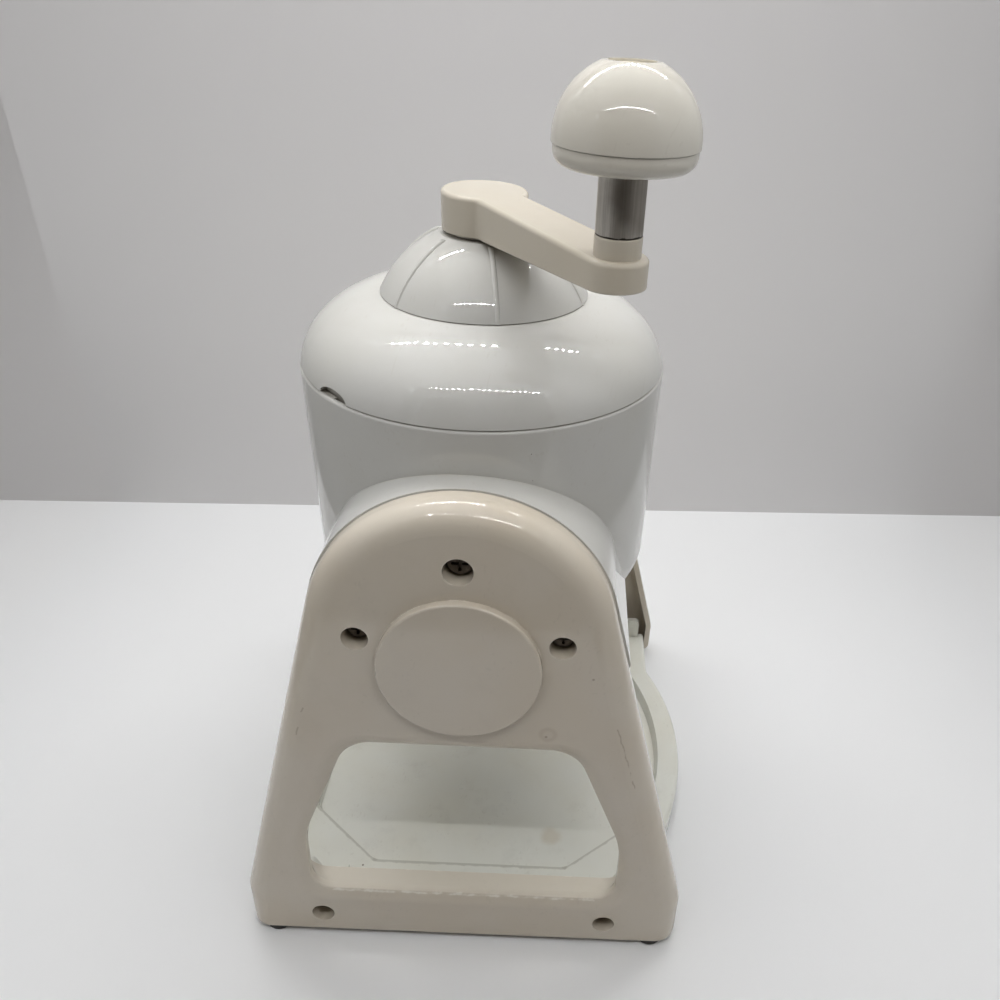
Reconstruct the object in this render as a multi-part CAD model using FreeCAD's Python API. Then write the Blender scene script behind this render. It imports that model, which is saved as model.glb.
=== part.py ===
import FreeCAD, Part
import math
import os
from FreeCAD import Placement, Rotation, Vector

# Hand cranked ice shaver, in millimetres.  +Z is up and the table is at Z = 0.
# The hopper and crank turn about the Z axis.  -Y is the front, where the bowl goes in,
# and the two legs stand on the -X and +X sides.  Every piece is its own solid or group.

# ---------------------------------------------------------------- driving dimensions
# hopper and lid
hopper_radius = 61.0          # outside, at the rim
hopper_foot_radius = 60.4     # outside, above the rounded bottom edge
hopper_bottom_z = 122.0
hopper_height = 78.5          # bottom to rim
hopper_edge_round = 9.0
plastic_wall = 2.6
floor_thickness = 4.0
rim_round = 1.0
lid_seam = 0.4                # open line between rim and lid
lid_centre_radius = 29.5      # where the flat top turns into the shoulder
lid_shoulder_width = 31.5
lid_shoulder_height = 24.7
lid_shoulder_drop = 3.0       # the shoulder's widest point below the rim
lid_bore_radius = 16.0
skirt_depth = 6.9
skirt_wall = 2.2
skirt_clearance = 0.4
key_width = 6.0
key_height = 1.2
key_clearance = 0.4
key_angles = (20.0, 140.0, 260.0)
key_slot_bite = 2.0
notch_angle = 137.0           # thumb notch in the lid's edge
notch_width = 13.5
notch_height = 2.8

# dome over the lid
dome_radius = 37.7
dome_centre_drop = 16.6       # below the lid's top
dome_rise = 18.3              # flat top above the lid's top
dome_wall = 2.5
dome_seat_gap = 0.05
rib_count = 6
rib_first_angle = 12.0
rib_radius = 0.9
rib_sink = 1.0                # of the hoop, into the dome
rib_lift = 0.9                # hoop above the dome's centre, so it sinks away at the base
dome_post_radius = 3.6
dome_post_circle = 23.5
dome_screw_angles = (42.0, 162.0, 282.0)
dome_screw_bite = 6.0
rib_top_drop = 0.4

# legs
arch_radius = 48.0
arch_rise = 16.0              # centre above the hopper's bottom
leg_side_lean = 14.7          # degrees
leg_half_width = 80.5
leg_bottom_z = 2.7
leg_depth = 11.5
leg_splay = 2.9               # degrees
leg_inner_x = 69.0            # at the top of the arch
leg_edge_round = 8.0
leg_waist_round = 14.0
leg_toe_round = 4.0
leg_mouth_round = 6.0           # where the bevel runs out into the face
leg_sole_round = 1.0
window_top_drop = 40.8        # below the arch's centre
window_bottom_z = 23.9
window_top_half = 37.5
window_low_half = 55.5
window_knee_z = 52.0
window_top_round = 13.0
window_knee_round = 40.0
window_low_round = 8.0
window_lip_depth = 1.8          # the mouth's sharp lip lies behind the face
window_lip_bevel = 3.0          # slope from the lip out to the face
window_lip_round = 0.6
window_throat = 4.2           # straight part, then it widens to the inner face
window_flare_side = 4.5
window_flare_top = 3.0
window_flare_low = 1.0
pad_radius = 25.3
pad_drop = 7.0                # centre below the arch's centre
pad_height = 2.8
pad_edge_round = 0.7
top_hole_rise = 34.8          # above the pad's centre
side_hole_rise = 9.6
side_hole_y = 31.1
low_hole_z = 11.45
low_hole_y = 52.2
top_bore_radius = 4.55
side_bore_radius = 4.1
screw_bore_depth = 7.5
bore_lip_round = 0.4
boss_wall = 1.8
collar_boss_extra = 0.6
collar_grow = 0.6             # the collar stands this far out around the leg's arch
collar_corner_round = 4.0
collar_foot_rise = 0.3
collar_bite = 0.5             # sunk into the hopper's wall
seat_gap = 0.05               # between pieces that are screwed face to face

# base tray and feet
tray_bottom_z = 2.6
tray_rim_z = 14.0
tray_ledge_z = 8.5
tray_floor_z = 5.5
tray_skin = 2.4
tray_front_y = -88.4
tray_front_radius = 114.4
tray_ease_radius = 8.0        # hollow corner between the bulge and the straight ends
tray_end_y = -77.1            # front edge beside the legs
tray_back_y = 80.2
leg_overlap = 2.0             # tray's plan past the legs' inner faces, trimmed to them
tray_corner_round = 9.0
tray_least_round = 3.0
tray_rim_width = 9.5
tray_rim_run = 1.2            # slant of the rim's inner side
tray_ledge_side = 62.2        # half width of the sunk floor
tray_floor_back_y = 67.4
tray_floor_front_y = -66.0
tray_floor_back_corner = (37.4, 38.6)
tray_floor_front_corner = (39.5, -37.3)
tray_floor_round = 6.0
tray_edge_round = 2.0
tray_step_slope = 1.0
upstand_z = 19.0
upstand_ear_z = 25.0          # higher at both ends
upstand_ear_y = 58.0
upstand_end_y = 73.7
upstand_step = 3.0
upstand_round = 2.5
upstand_wall = 2.6
screw_block_half = 5.0
screw_block_drop = 1.0        # below the rim
foot_radius = 5.3
foot_x = 84.0
foot_y = 70.7
foot_stud_radius = 2.6
foot_stud_gap = 0.05
foot_edge_round = 0.5

# screws
small_screw_head = 3.6
small_screw_shank = 1.9
large_screw_head = 4.2
large_screw_shank = 2.3
screw_head_height = 2.6
leg_screw_bite = 6.4
head_round_ratio = 0.25       # of the head's radius
cross_slot_ratio = 0.6        # half length of the slot, of the head's radius
cross_slot_width = 0.9
cross_slot_depth = 1.4
pilot_gap = 0.02
pilot_spare = 1.0             # pilot holes are this much deeper than the screw

# feed screw stack
shaft_radius = 5.0
shaft_neck_radius = 4.0
running_gap = 0.06
thrust_gap = 0.1
bush_radius = 7.5
bush_flange_radius = 12.0
bush_flange_height = 2.0
bush_depth = 10.5             # below the dome's flat top
thrust_washer_radius = 11.0
thrust_washer_height = 0.8
spring_mean_radius = 10.2
spring_wire_radius = 0.8
spring_turns = 11
pusher_radius = 50.0
pusher_clearance = 9.5        # under the disc at rest, for the spikes and nut
pusher_disc_height = 4.0
pusher_hub_radius = 11.0
pusher_hub_height = 12.5
pusher_rib_count = 6
pusher_rib_width = 2.4
pusher_rib_inset = 6.0
pusher_edge_round = 1.2
spring_washer_radius = 12.5
spring_washer_height = 1.2
spike_plate_radius = 34.0
spike_plate_height = 1.0
spike_count = 8
spike_circle = 27.0
spike_radius = 1.7
spike_tip_radius = 0.2
spike_length = 5.6
nut_across_flats = 10.0
nut_height = 4.0
nut_gap = 0.1
shaft_foot_length = 1.0       # shows below the nut
shaft_end_round = 0.6

# blade
blade_angle = 25.0            # degrees from the floor
blade_length = 44.0
blade_width = 20.0
blade_thickness = 1.2
blade_rise = 0.4              # edge above the floor
blade_bevel = 3.0
blade_inner_y = 6.0
blade_pocket_gap = 0.3
chip_slot_width = 7.0
blade_screw_spacing = 26.0
blade_screw_head = 3.0
blade_screw_shank = 1.5
blade_screw_bite = 5.0
blade_screw_from_edge = 15.5
blade_screw_height = 1.8
blade_screw_slot = 0.8
blade_pad_margin = 2.0

# crank
hub_radius = 13.6
arm_height = 11.9             # at the hub
arm_top_fall = 1.6            # of the top, from the hub's axis to the tip
arm_end_rise = 2.7            # the arm thins towards the knob
arm_half_width = 8.2
arm_length = 72.4
crank_angle = 212.6           # degrees from +X at rest
arm_waist_round = 2.5
arm_top_round = 1.3
arm_bottom_round = 0.6
boss_edge_round = 0.4
spindle_screw_room = 0.5      # around the head in its counterbore
spindle_screw_bite = 6.0
hub_bore_depth = 8.0
boss_radius = 6.1
boss_height = 3.6             # above the arm's top at the hub

# knob
spindle_radius = 5.95
spindle_journal_radius = 4.0
spindle_stub_radius = 3.5
spindle_stub_length = 8.2
spindle_foot_gap = 0.1
spindle_web = 1.5             # left between the stub and its screw's head
knob_radius = 17.7
knob_stand = 21.4             # centre above the boss
knob_seam_drop = 1.0          # seam below the centre of the dome's sphere
knob_seam_gap = 0.1
knob_lip_round = 0.3
knob_top_rise = 16.4
knob_bottom_drop = 6.0
journal_drop = 2.6            # spindle shoulder below the centre
journal_rise = 9.0
knob_ring_round = 3.6
knob_wall = 2.4
knob_tube_wall = 2.6
knob_well_radius = 7.6
knob_cap_radius = 5.5
knob_cap_height = 1.8
knob_cap_gap = 0.1
knob_spigot_height = 2.2
knob_washer_radius = 6.4
knob_washer_height = 1.0
knob_cap_seat = 1.2
knob_cap_lip = 0.7
knob_cap_sunk = 0.6           # below the rim around it
knob_cap_round = 0.3
knob_rim_round = 0.5
knob_web = 2.0
knob_end_play = 0.3
knob_ring_inset = 0.4
knob_collar_wall = 2.2
spigot_gap = 0.25
spigot_wall = 1.6
knob_screw_head = 4.2
knob_screw_shank = 2.0
knob_screw_length = 8.5

# ---------------------------------------------------------------- derived levels
far = 400.0                   # larger than any piece, for cutting tools
past = 1.0                    # cutting tools run this far past a face
sink = 1.0                    # fused pieces reach this far into each other
least_length = 1e-6
near = 0.01                   # tolerance when edges are picked by their place
clear_cut = 0.01              # lets a cutter's top stand clear of the face it opens
screw_hole_gap = 0.2          # around a screw's shank in a clear hole
hopper_rim_z = hopper_bottom_z + hopper_height
floor_top_z = hopper_bottom_z + floor_thickness
hopper_bore = hopper_radius - plastic_wall
lid_bottom_z = hopper_rim_z + lid_seam
lid_shoulder_z = hopper_rim_z - lid_shoulder_drop
lid_top_z = lid_shoulder_z + lid_shoulder_height
dome_base_z = lid_top_z + dome_seat_gap
dome_centre_z = lid_top_z - dome_centre_drop
dome_flat_z = lid_top_z + dome_rise
skirt_radius = hopper_bore - skirt_clearance
dome_ceiling_z = dome_flat_z - dome_wall
bush_bottom_z = dome_flat_z - bush_depth
pusher_disc_z = floor_top_z + pusher_clearance
pusher_hub_z = pusher_disc_z + pusher_hub_height
spring_top_z = dome_ceiling_z - bush_flange_height - thrust_gap
spring_washer_z = pusher_hub_z + thrust_gap
spring_bottom_z = spring_washer_z + spring_washer_height + thrust_gap
thrust_washer_z = dome_flat_z + thrust_gap
arm_bottom_z = thrust_washer_z + thrust_washer_height + thrust_gap
arm_end_bottom_z = arm_bottom_z + arm_end_rise
arm_top_z = arm_bottom_z + arm_height
hub_bore_top_z = arm_bottom_z + hub_bore_depth
boss_top_z = arm_top_z + boss_height
spindle_stub_z = boss_top_z - spindle_stub_length
knob_centre_z = boss_top_z + knob_stand
arch_centre_z = hopper_bottom_z + arch_rise
arch_top_z = arch_centre_z + arch_radius
window_top_z = arch_centre_z - window_top_drop
pad_centre_z = arch_centre_z - pad_drop
top_hole_z = pad_centre_z + top_hole_rise
side_hole_z = pad_centre_z + side_hole_rise
leg_frame = Placement(Vector(leg_inner_x, 0, 0), Rotation(Vector(0, 1, 0), -leg_splay),
                      Vector(0, 0, arch_top_z))
pin_place = Vector(arm_length, 0, 0)
knob_seam_z = knob_centre_z - knob_seam_drop
knob_top_z = knob_centre_z + knob_top_rise
knob_bottom_z = knob_centre_z - knob_bottom_drop
spindle_shoulder_z = knob_centre_z - journal_drop
spindle_top_z = knob_centre_z + journal_rise
tray_half_width = leg_inner_x + math.tan(math.radians(leg_splay)) * arch_top_z + leg_overlap

# The origin is at the middle of the footprint, so the hopper's axis stands behind it.
footprint_shift = Vector(0, -(tray_front_y + leg_half_width) / 2, 0)


# ---------------------------------------------------------------- helpers
def cylinder(radius, z0, z1, x=0.0, y=0.0):
    return Part.makeCylinder(radius, z1 - z0, Vector(x, y, z0))


def tube(outer, inner, z0, z1, x=0.0, y=0.0):
    return cylinder(outer, z0, z1, x, y).cut(cylinder(inner, z0, z1, x, y))


def box(x0, x1, y0, y1, z0, z1):
    return Part.makeBox(x1 - x0, y1 - y0, z1 - z0, Vector(x0, y0, z0))


def fuse_all(shapes):
    whole = shapes[0]
    for shape in shapes[1:]:
        whole = whole.fuse(shape)
    return whole.removeSplitter()


def mirror_x(shape):
    return shape.mirror(Vector(0, 0, 0), Vector(1, 0, 0))


def turned(shape, angle):
    copy = shape.copy()
    copy.rotate(Vector(0, 0, 0), Vector(0, 0, 1), angle)
    return copy


def placed(shape, placement):
    copy = shape.copy()
    copy.Placement = placement.multiply(copy.Placement)
    return copy


def side_vector(u, v):
    return Vector(0, u, v)


def plan_vector(u, v):
    return Vector(u, v, 0)


def profile_vector(u, v):
    return Vector(u, 0, v)


def joined(pieces):
    """Closed wire through arcs and corner points in order, with straight lines between."""
    ends = []
    for piece in pieces:
        if isinstance(piece, Vector):
            ends.append((piece, piece))
        else:
            ends.append((piece.valueAt(piece.FirstParameter), piece.valueAt(piece.LastParameter)))
    edges = []
    for index, piece in enumerate(pieces):
        if not isinstance(piece, Vector):
            edges.append(piece)
        start = ends[index][1]
        finish = ends[(index + 1) % len(pieces)][0]
        if start.distanceToPoint(finish) > least_length:
            edges.append(Part.makeLine(start, finish))
    return Part.Wire(edges)


def arc(centre, radius, start, end, to_vector):
    """Arc about a centre (u, v) between two angles, in degrees."""
    points = []
    for angle in (start, (start + end) / 2, end):
        turn = math.radians(angle)
        points.append(to_vector(centre[0] + radius * math.cos(turn),
                                centre[1] + radius * math.sin(turn)))
    return Part.Arc(points[0], points[1], points[2]).toShape()


def rounded_wire(corners, to_vector):
    """Closed outline from corners (u, v, radius), each rounded by an arc."""
    pieces = []
    for index, here in enumerate(corners):
        if here[2] == 0:
            pieces.append(to_vector(here[0], here[1]))
            continue
        before = corners[index - 1]
        after = corners[(index + 1) % len(corners)]
        back = Vector(before[0] - here[0], before[1] - here[1], 0).normalize()
        ahead = Vector(after[0] - here[0], after[1] - here[1], 0).normalize()
        half = back.getAngle(ahead) / 2
        reach = here[2] / math.tan(half)
        centre_reach = here[2] / math.sin(half)
        bisector = (back + ahead).normalize()
        point = Vector(here[0], here[1], 0)
        through = (point + back * reach, point + bisector * (centre_reach - here[2]),
                   point + ahead * reach)
        start, middle, end = [to_vector(place.x, place.y) for place in through]
        pieces.append(Part.Arc(start, middle, end).toShape())
    return joined(pieces)


def prism(wire, direction):
    return Part.Face(wire).extrude(direction)


def spun(edges):
    """Solid of revolution about Z from profile edges in the XZ plane."""
    face = Part.Face(Part.Wire(edges))
    return face.revolve(Vector(0, 0, 0), Vector(0, 0, 1), 360)


def polyline(points):
    return [Part.makeLine(Vector(a[0], 0, a[1]), Vector(b[0], 0, b[1]))
            for a, b in zip(points, points[1:])]


def rounded_edges(shape, radius, chosen):
    edges = [edge for edge in shape.Edges if chosen(edge)]
    return shape.makeFillet(radius, edges)


def lies_at(edge, axis, level):
    """True if the whole edge lies in the plane axis = level."""
    box_ = edge.BoundBox
    low = getattr(box_, axis + "Min")
    high = getattr(box_, axis + "Max")
    return abs(low - level) < near and abs(high - level) < near


def beyond_leg_face(gap):
    """Everything outside the right leg's inner face, less a gap."""
    return placed(box(-gap, far, -far, far, -far, far), leg_frame)


def screw(head_radius, shank_radius, length):
    """Pan head screw along +X: head from X = 0 outward, shank to X = -length."""
    head = Part.makeCylinder(head_radius, screw_head_height, Vector(0, 0, 0), Vector(1, 0, 0))
    top = screw_head_height
    head = rounded_edges(head, head_radius * head_round_ratio,
                         lambda edge: lies_at(edge, "X", top))
    shank = Part.makeCylinder(shank_radius, length, Vector(-length, 0, 0), Vector(1, 0, 0))
    whole = head.fuse(shank)
    reach = head_radius * cross_slot_ratio
    half = cross_slot_width / 2
    floor = top - cross_slot_depth
    whole = whole.cut(box(floor, far, -reach, reach, -half, half))
    return whole.cut(box(floor, far, -half, half, -reach, reach))


# ---------------------------------------------------------------- legs
def leg_outline():
    apex = arch_centre_z + arch_radius / math.sin(math.radians(leg_side_lean))
    waist_drop = leg_half_width / math.tan(math.radians(leg_side_lean))
    waist_z = apex - waist_drop
    low = leg_bottom_z - past
    return rounded_wire([
        (-leg_half_width, low, 0),
        (-leg_half_width, waist_z, leg_waist_round),
        (0, apex, arch_radius),
        (leg_half_width, waist_z, leg_waist_round),
        (leg_half_width, low, 0),
    ], side_vector)


def window_outline(side, top, low):
    """Outline of the bowl's window, made larger by a margin at each side, above and below."""
    knee = window_low_half + side
    high = window_top_half + side
    top_z = window_top_z + top
    low_z = window_bottom_z - low
    return rounded_wire([
        (-knee, low_z, window_low_round), (-knee, window_knee_z, window_knee_round),
        (-high, top_z, window_top_round), (high, top_z, window_top_round),
        (knee, window_knee_z, window_knee_round), (knee, low_z, window_low_round),
    ], side_vector)


def window_tunnel(grow):
    """What fills the window from face to face, made larger all round by a margin."""
    mouth = window_outline(0, 0, 0)
    flared = window_outline(window_flare_side, window_flare_top, window_flare_low)
    if grow > 0:
        mouth = mouth.makeOffset2D(grow)
        flared = flared.makeOffset2D(grow)
    throat_x = leg_depth - window_throat
    deep = mouth.copy()
    deep.translate(Vector(throat_x, 0, 0))
    throat = prism(deep, Vector(window_throat, 0, 0))
    return throat.fuse(Part.makeLoft([flared, deep], True, True))


def mouth_bevel():
    """The slope around the window, from its lip out to the leg's face and a little past it."""
    lip = window_outline(0, 0, 0)
    lip.translate(Vector(leg_depth - window_lip_depth, 0, 0))
    wide = window_lip_bevel * (1 + past / window_lip_depth)
    rim = window_outline(wide, wide, wide)
    rim.translate(Vector(leg_depth + past, 0, 0))
    return Part.makeLoft([lip, rim], True, True)


def leg_holes():
    """Each hole's y, z, counterbore radius and shank radius, on the leg's face."""
    holes = [(0.0, top_hole_z, top_bore_radius, large_screw_shank)]
    for side in (-1, 1):
        holes.append((side * side_hole_y, side_hole_z, side_bore_radius, small_screw_shank))
        holes.append((side * low_hole_y, low_hole_z, side_bore_radius, small_screw_shank))
    return holes


def along_x(radius, x0, x1, y, z):
    return Part.makeCylinder(radius, x1 - x0, Vector(x0, y, z), Vector(1, 0, 0))


def toe_cutter(side):
    """What lies outside the rounded bottom corner of a leg, at its -Y or +Y end."""
    inner_y = leg_half_width - leg_toe_round
    top = leg_bottom_z + leg_toe_round
    corner = box(-far, far, inner_y, far, -far, top)
    corner = corner.cut(along_x(leg_toe_round, -far, far, inner_y, top))
    return turned(corner, 90 - 90 * side)


def make_right_leg():
    outline = leg_outline()
    outer = prism(outline, Vector(leg_depth, 0, 0))
    low = leg_bottom_z - past

    def on_rim(edge):
        return lies_at(edge, "X", leg_depth) and not lies_at(edge, "Z", low)

    outer = rounded_edges(outer, leg_edge_round, on_rim)
    floor_cut = box(-far, far, -far, far, -far, leg_bottom_z)

    inner_round = leg_edge_round - plastic_wall
    inner_depth = leg_depth - plastic_wall
    cavity = prism(outline.makeOffset2D(-plastic_wall), Vector(inner_depth, 0, 0))
    inner_low = cavity.BoundBox.ZMin

    def on_inner_rim(edge):
        return lies_at(edge, "X", inner_depth) and not lies_at(edge, "Z", inner_low)

    cavity = rounded_edges(cavity, inner_round, on_inner_rim)
    cavity = cavity.cut(window_tunnel(plastic_wall))
    for y, z, bore, shank in leg_holes():
        cavity = cavity.cut(along_x(bore + boss_wall, -past, leg_depth, y, z))
    cavity = cavity.cut(box(-far, far, -far, far, -far, leg_bottom_z + plastic_wall))

    leg = outer.cut(cavity)
    leg = leg.cut(window_tunnel(0))
    for y, z, bore, shank in leg_holes():
        leg = leg.cut(along_x(bore, leg_depth - screw_bore_depth, leg_depth + past, y, z))
        leg = leg.cut(along_x(shank + screw_hole_gap, -past, leg_depth, y, z))

    leg = leg.cut(mouth_bevel())

    def on_mouth(edge):
        span = edge.BoundBox
        room = window_lip_bevel + past
        inside = max(abs(span.YMin), abs(span.YMax)) < window_low_half + room
        return inside and span.ZMin > window_bottom_z - room and span.ZMax < window_top_z + room

    leg = rounded_edges(leg, leg_mouth_round,
                        lambda edge: lies_at(edge, "X", leg_depth) and on_mouth(edge))
    lip_x = leg_depth - window_lip_depth
    leg = rounded_edges(leg, window_lip_round,
                        lambda edge: lies_at(edge, "X", lip_x) and on_mouth(edge))

    pad = along_x(pad_radius, leg_depth - plastic_wall / 2, leg_depth + pad_height, 0, pad_centre_z)
    pad_top = leg_depth + pad_height
    pad = rounded_edges(pad, pad_edge_round, lambda edge: lies_at(edge, "X", pad_top))
    leg = placed(leg.fuse(pad), leg_frame)
    leg = leg.cut(floor_cut)
    for side in (-1, 1):
        hole = cylinder(foot_stud_radius + foot_stud_gap, 0, leg_bottom_z + plastic_wall + past,
                        foot_x, side * foot_y)
        leg = leg.cut(hole).cut(toe_cutter(side))

    def on_sole(edge):
        return lies_at(edge, "Z", leg_bottom_z) and edge.BoundBox.XMin > foot_x + foot_stud_radius

    return rounded_edges(leg, leg_sole_round, on_sole)


def leg_screws(places, head, shank, bite):
    """Screws of both legs, seated in their counterbores."""
    seat = leg_depth - screw_bore_depth
    solids = []
    for y, z in places:
        one = screw(head, shank, seat + bite)
        one.translate(Vector(seat + seat_gap, y, z))
        right = placed(one, leg_frame)
        solids.append(right)
        solids.append(mirror_x(right))
    return Part.makeCompound(solids)


def pilot_holes(places, shank, bite):
    """Pilot holes for the right leg's screws in what they bite into."""
    holes = []
    for y, z in places:
        hole = along_x(shank + pilot_gap, -bite - pilot_spare, past, y, z)
        holes.append(placed(hole, leg_frame))
    return holes


top_places = [(0.0, top_hole_z)]
side_places = [(-side_hole_y, side_hole_z), (side_hole_y, side_hole_z)]
low_places = [(-low_hole_y, low_hole_z), (low_hole_y, low_hole_z)]


# ---------------------------------------------------------------- hopper
def hopper_profile(radius_top, radius_low, bottom, edge_round):
    """Outside of the hopper, or its bore, as profile edges from axis to rim."""
    edges = polyline([(0, bottom), (radius_low - edge_round, bottom)])
    edges.append(arc((radius_low - edge_round, bottom + edge_round), edge_round, -90, 0,
                     profile_vector))
    edges += polyline([(radius_low, bottom + edge_round), (radius_top, hopper_rim_z)])
    edges += polyline([(radius_top, hopper_rim_z), (0, hopper_rim_z), (0, bottom)])
    return edges


def collar_outline(grow):
    """Arch of the side collar: the leg's arch, made larger by a margin."""
    lean = math.radians(leg_side_lean)
    radius = arch_radius + grow
    apex = arch_centre_z + radius / math.sin(lean)
    low = hopper_bottom_z + collar_foot_rise + collar_grow - grow
    half = (apex - low) * math.tan(lean)
    return rounded_wire([(-half, low, collar_corner_round), (0, apex, radius),
                         (half, low, collar_corner_round)], side_vector)


def blade_frame():
    """Axes of the blade: its edge on the hopper floor, sloping down towards -X."""
    edge = Vector(0, -blade_inner_y, floor_top_z + blade_rise)
    return Placement(edge, Rotation(Vector(0, 1, 0), -blade_angle))


def make_hopper():
    body = spun(hopper_profile(hopper_radius, hopper_foot_radius, hopper_bottom_z,
                               hopper_edge_round))
    body = rounded_edges(body, rim_round, lambda edge: lies_at(edge, "Z", hopper_rim_z))

    outer_arch = prism(collar_outline(collar_grow), Vector(far, 0, 0))
    inner_arch = prism(collar_outline(collar_grow - plastic_wall), Vector(far, 0, 0))
    collar = outer_arch.cut(inner_arch)
    for (y, z), shank in [(top_places[0], large_screw_shank)] + [
            (place, small_screw_shank) for place in side_places]:
        collar = collar.fuse(along_x(shank + boss_wall + collar_boss_extra, 0, far, y, z))
    collar = collar.cut(beyond_leg_face(seat_gap))
    middle = plastic_wall - collar_bite
    core = spun(hopper_profile(hopper_radius - middle, hopper_foot_radius - middle,
                               hopper_bottom_z + collar_bite, hopper_edge_round))
    collar = collar.cut(core)
    for hole in pilot_holes(top_places, large_screw_shank, leg_screw_bite):
        collar = collar.cut(hole)
    for hole in pilot_holes(side_places, small_screw_shank, leg_screw_bite):
        collar = collar.cut(hole)

    bore = spun(hopper_profile(hopper_bore, hopper_foot_radius - plastic_wall, floor_top_z,
                               hopper_edge_round - plastic_wall))
    body = body.fuse(collar).fuse(mirror_x(collar))
    for angle in key_angles:
        depth = skirt_radius + key_height + key_clearance
        half = key_width / 2 + key_clearance
        slot = box(hopper_bore - key_slot_bite, depth, -half, half,
                   lid_bottom_z - skirt_depth - key_clearance, hopper_rim_z + past)
        bore = bore.fuse(turned(slot, angle))
    return body.cut(bore)


def blade_pad():
    """Wedge under the hopper floor that the blade lies against."""
    top = hopper_bottom_z + sink
    reach = blade_width * math.cos(math.radians(blade_angle))
    wedge = box(-reach, 0, -blade_inner_y - blade_length - blade_pad_margin,
                -blade_inner_y + blade_pad_margin, hopper_bottom_z - blade_width, top)
    under = placed(box(-far, far, -far, far, -far, 0), blade_frame())
    return wedge.cut(under)


def make_hopper_with_slot():
    hopper = make_hopper().fuse(blade_pad())
    pocket = box(-blade_width - blade_pocket_gap, 2 * blade_pocket_gap,
                 -blade_length - blade_pocket_gap, blade_pocket_gap,
                 -blade_width, 0)
    pocket = placed(pocket, blade_frame())
    slot = box(0, chip_slot_width, -blade_inner_y - blade_length - blade_pocket_gap,
               -blade_inner_y + blade_pocket_gap, hopper_bottom_z - blade_width,
               floor_top_z + past)
    hopper = hopper.cut(pocket).cut(slot)
    for place in blade_screw_places():
        hole = Part.makeCylinder(blade_screw_shank + pilot_gap, blade_screw_bite + pilot_spare,
                                 place)
        hopper = hopper.cut(placed(hole, blade_frame()))
    return hopper


# ---------------------------------------------------------------- blade
def blade_screw_places():
    """Screw centres in the blade's own axes, on its upper face."""
    middle = -blade_length / 2
    return [Vector(-blade_screw_from_edge, middle + side * blade_screw_spacing / 2, 0)
            for side in (-1, 1)]


def make_blade():
    top = -seat_gap
    low = top - blade_thickness
    outline = Part.makePolygon([Vector(0, 0, top), Vector(-blade_width, 0, top),
                                Vector(-blade_width, 0, low), Vector(-blade_bevel, 0, low),
                                Vector(0, 0, top)])
    blade = prism(outline, Vector(0, -blade_length, 0))
    for place in blade_screw_places():
        hole = Part.makeCylinder(blade_screw_shank + screw_hole_gap, blade_thickness + 2 * past,
                                 place + Vector(0, 0, low - past))
        blade = blade.cut(hole)
    return placed(blade, blade_frame())


def make_blade_screws():
    head_z = -seat_gap - blade_thickness - seat_gap
    solids = []
    for place in blade_screw_places():
        head = Part.makeCylinder(blade_screw_head, blade_screw_height,
                                 place + Vector(0, 0, head_z - blade_screw_height))
        shank = Part.makeCylinder(blade_screw_shank, blade_screw_bite - head_z,
                                  place + Vector(0, 0, head_z))
        slot = Part.makeBox(2 * blade_screw_head, blade_screw_slot, blade_screw_slot,
                            place + Vector(-blade_screw_head, -blade_screw_slot / 2,
                                           head_z - blade_screw_height))
        solids.append(placed(head.fuse(shank).cut(slot), blade_frame()))
    return Part.makeCompound(solids)


# ---------------------------------------------------------------- base tray and feet
def tray_outline(inset):
    """Plan of the tray: straight back, and a front that bulges out between straight ends."""
    bulge_y = tray_front_y + tray_front_radius
    ease_y = tray_end_y - tray_ease_radius
    apart = tray_front_radius + tray_ease_radius
    ease_x = math.sqrt(apart ** 2 - (bulge_y - ease_y) ** 2)
    lean = math.degrees(math.atan2(ease_x, bulge_y - ease_y))
    ease = tray_ease_radius + inset
    half = tray_half_width - inset
    round_ = max(tray_corner_round - inset, tray_least_round)
    corner_x = half - round_
    corner_y = tray_back_y - inset - round_
    return joined([
        arc((0, bulge_y), tray_front_radius - inset, -90 - lean, -90 + lean, plan_vector),
        arc((ease_x, ease_y), ease, 90 + lean, 90, plan_vector),
        Vector(half, ease_y + ease, 0),
        arc((corner_x, corner_y), round_, 0, 90, plan_vector),
        arc((-corner_x, corner_y), round_, 90, 180, plan_vector),
        Vector(-half, ease_y + ease, 0),
        arc((-ease_x, ease_y), ease, 90, 90 - lean, plan_vector),
    ])


def raised(wire, z0, z1):
    base = wire.copy()
    base.translate(Vector(0, 0, z0))
    return prism(base, Vector(0, 0, z1 - z0))


def floor_outline(grow):
    back_x, back_y = tray_floor_back_corner
    front_x, front_y = tray_floor_front_corner
    places = [
        (-tray_ledge_side, front_y), (-tray_ledge_side, back_y),
        (-back_x, tray_floor_back_y), (back_x, tray_floor_back_y),
        (tray_ledge_side, back_y), (tray_ledge_side, front_y),
        (front_x, tray_floor_front_y), (-front_x, tray_floor_front_y),
    ]
    corners = [(x, y, tray_floor_round) for x, y in places]
    wire = rounded_wire(corners, plan_vector)
    if grow > 0:
        wire = wire.makeOffset2D(grow)
    return wire


def lofted(low_wire, low_z, high_wire, high_z):
    low = low_wire.copy()
    low.translate(Vector(0, 0, low_z))
    high = high_wire.copy()
    high.translate(Vector(0, 0, high_z))
    return Part.makeLoft([low, high], True, True)


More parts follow.
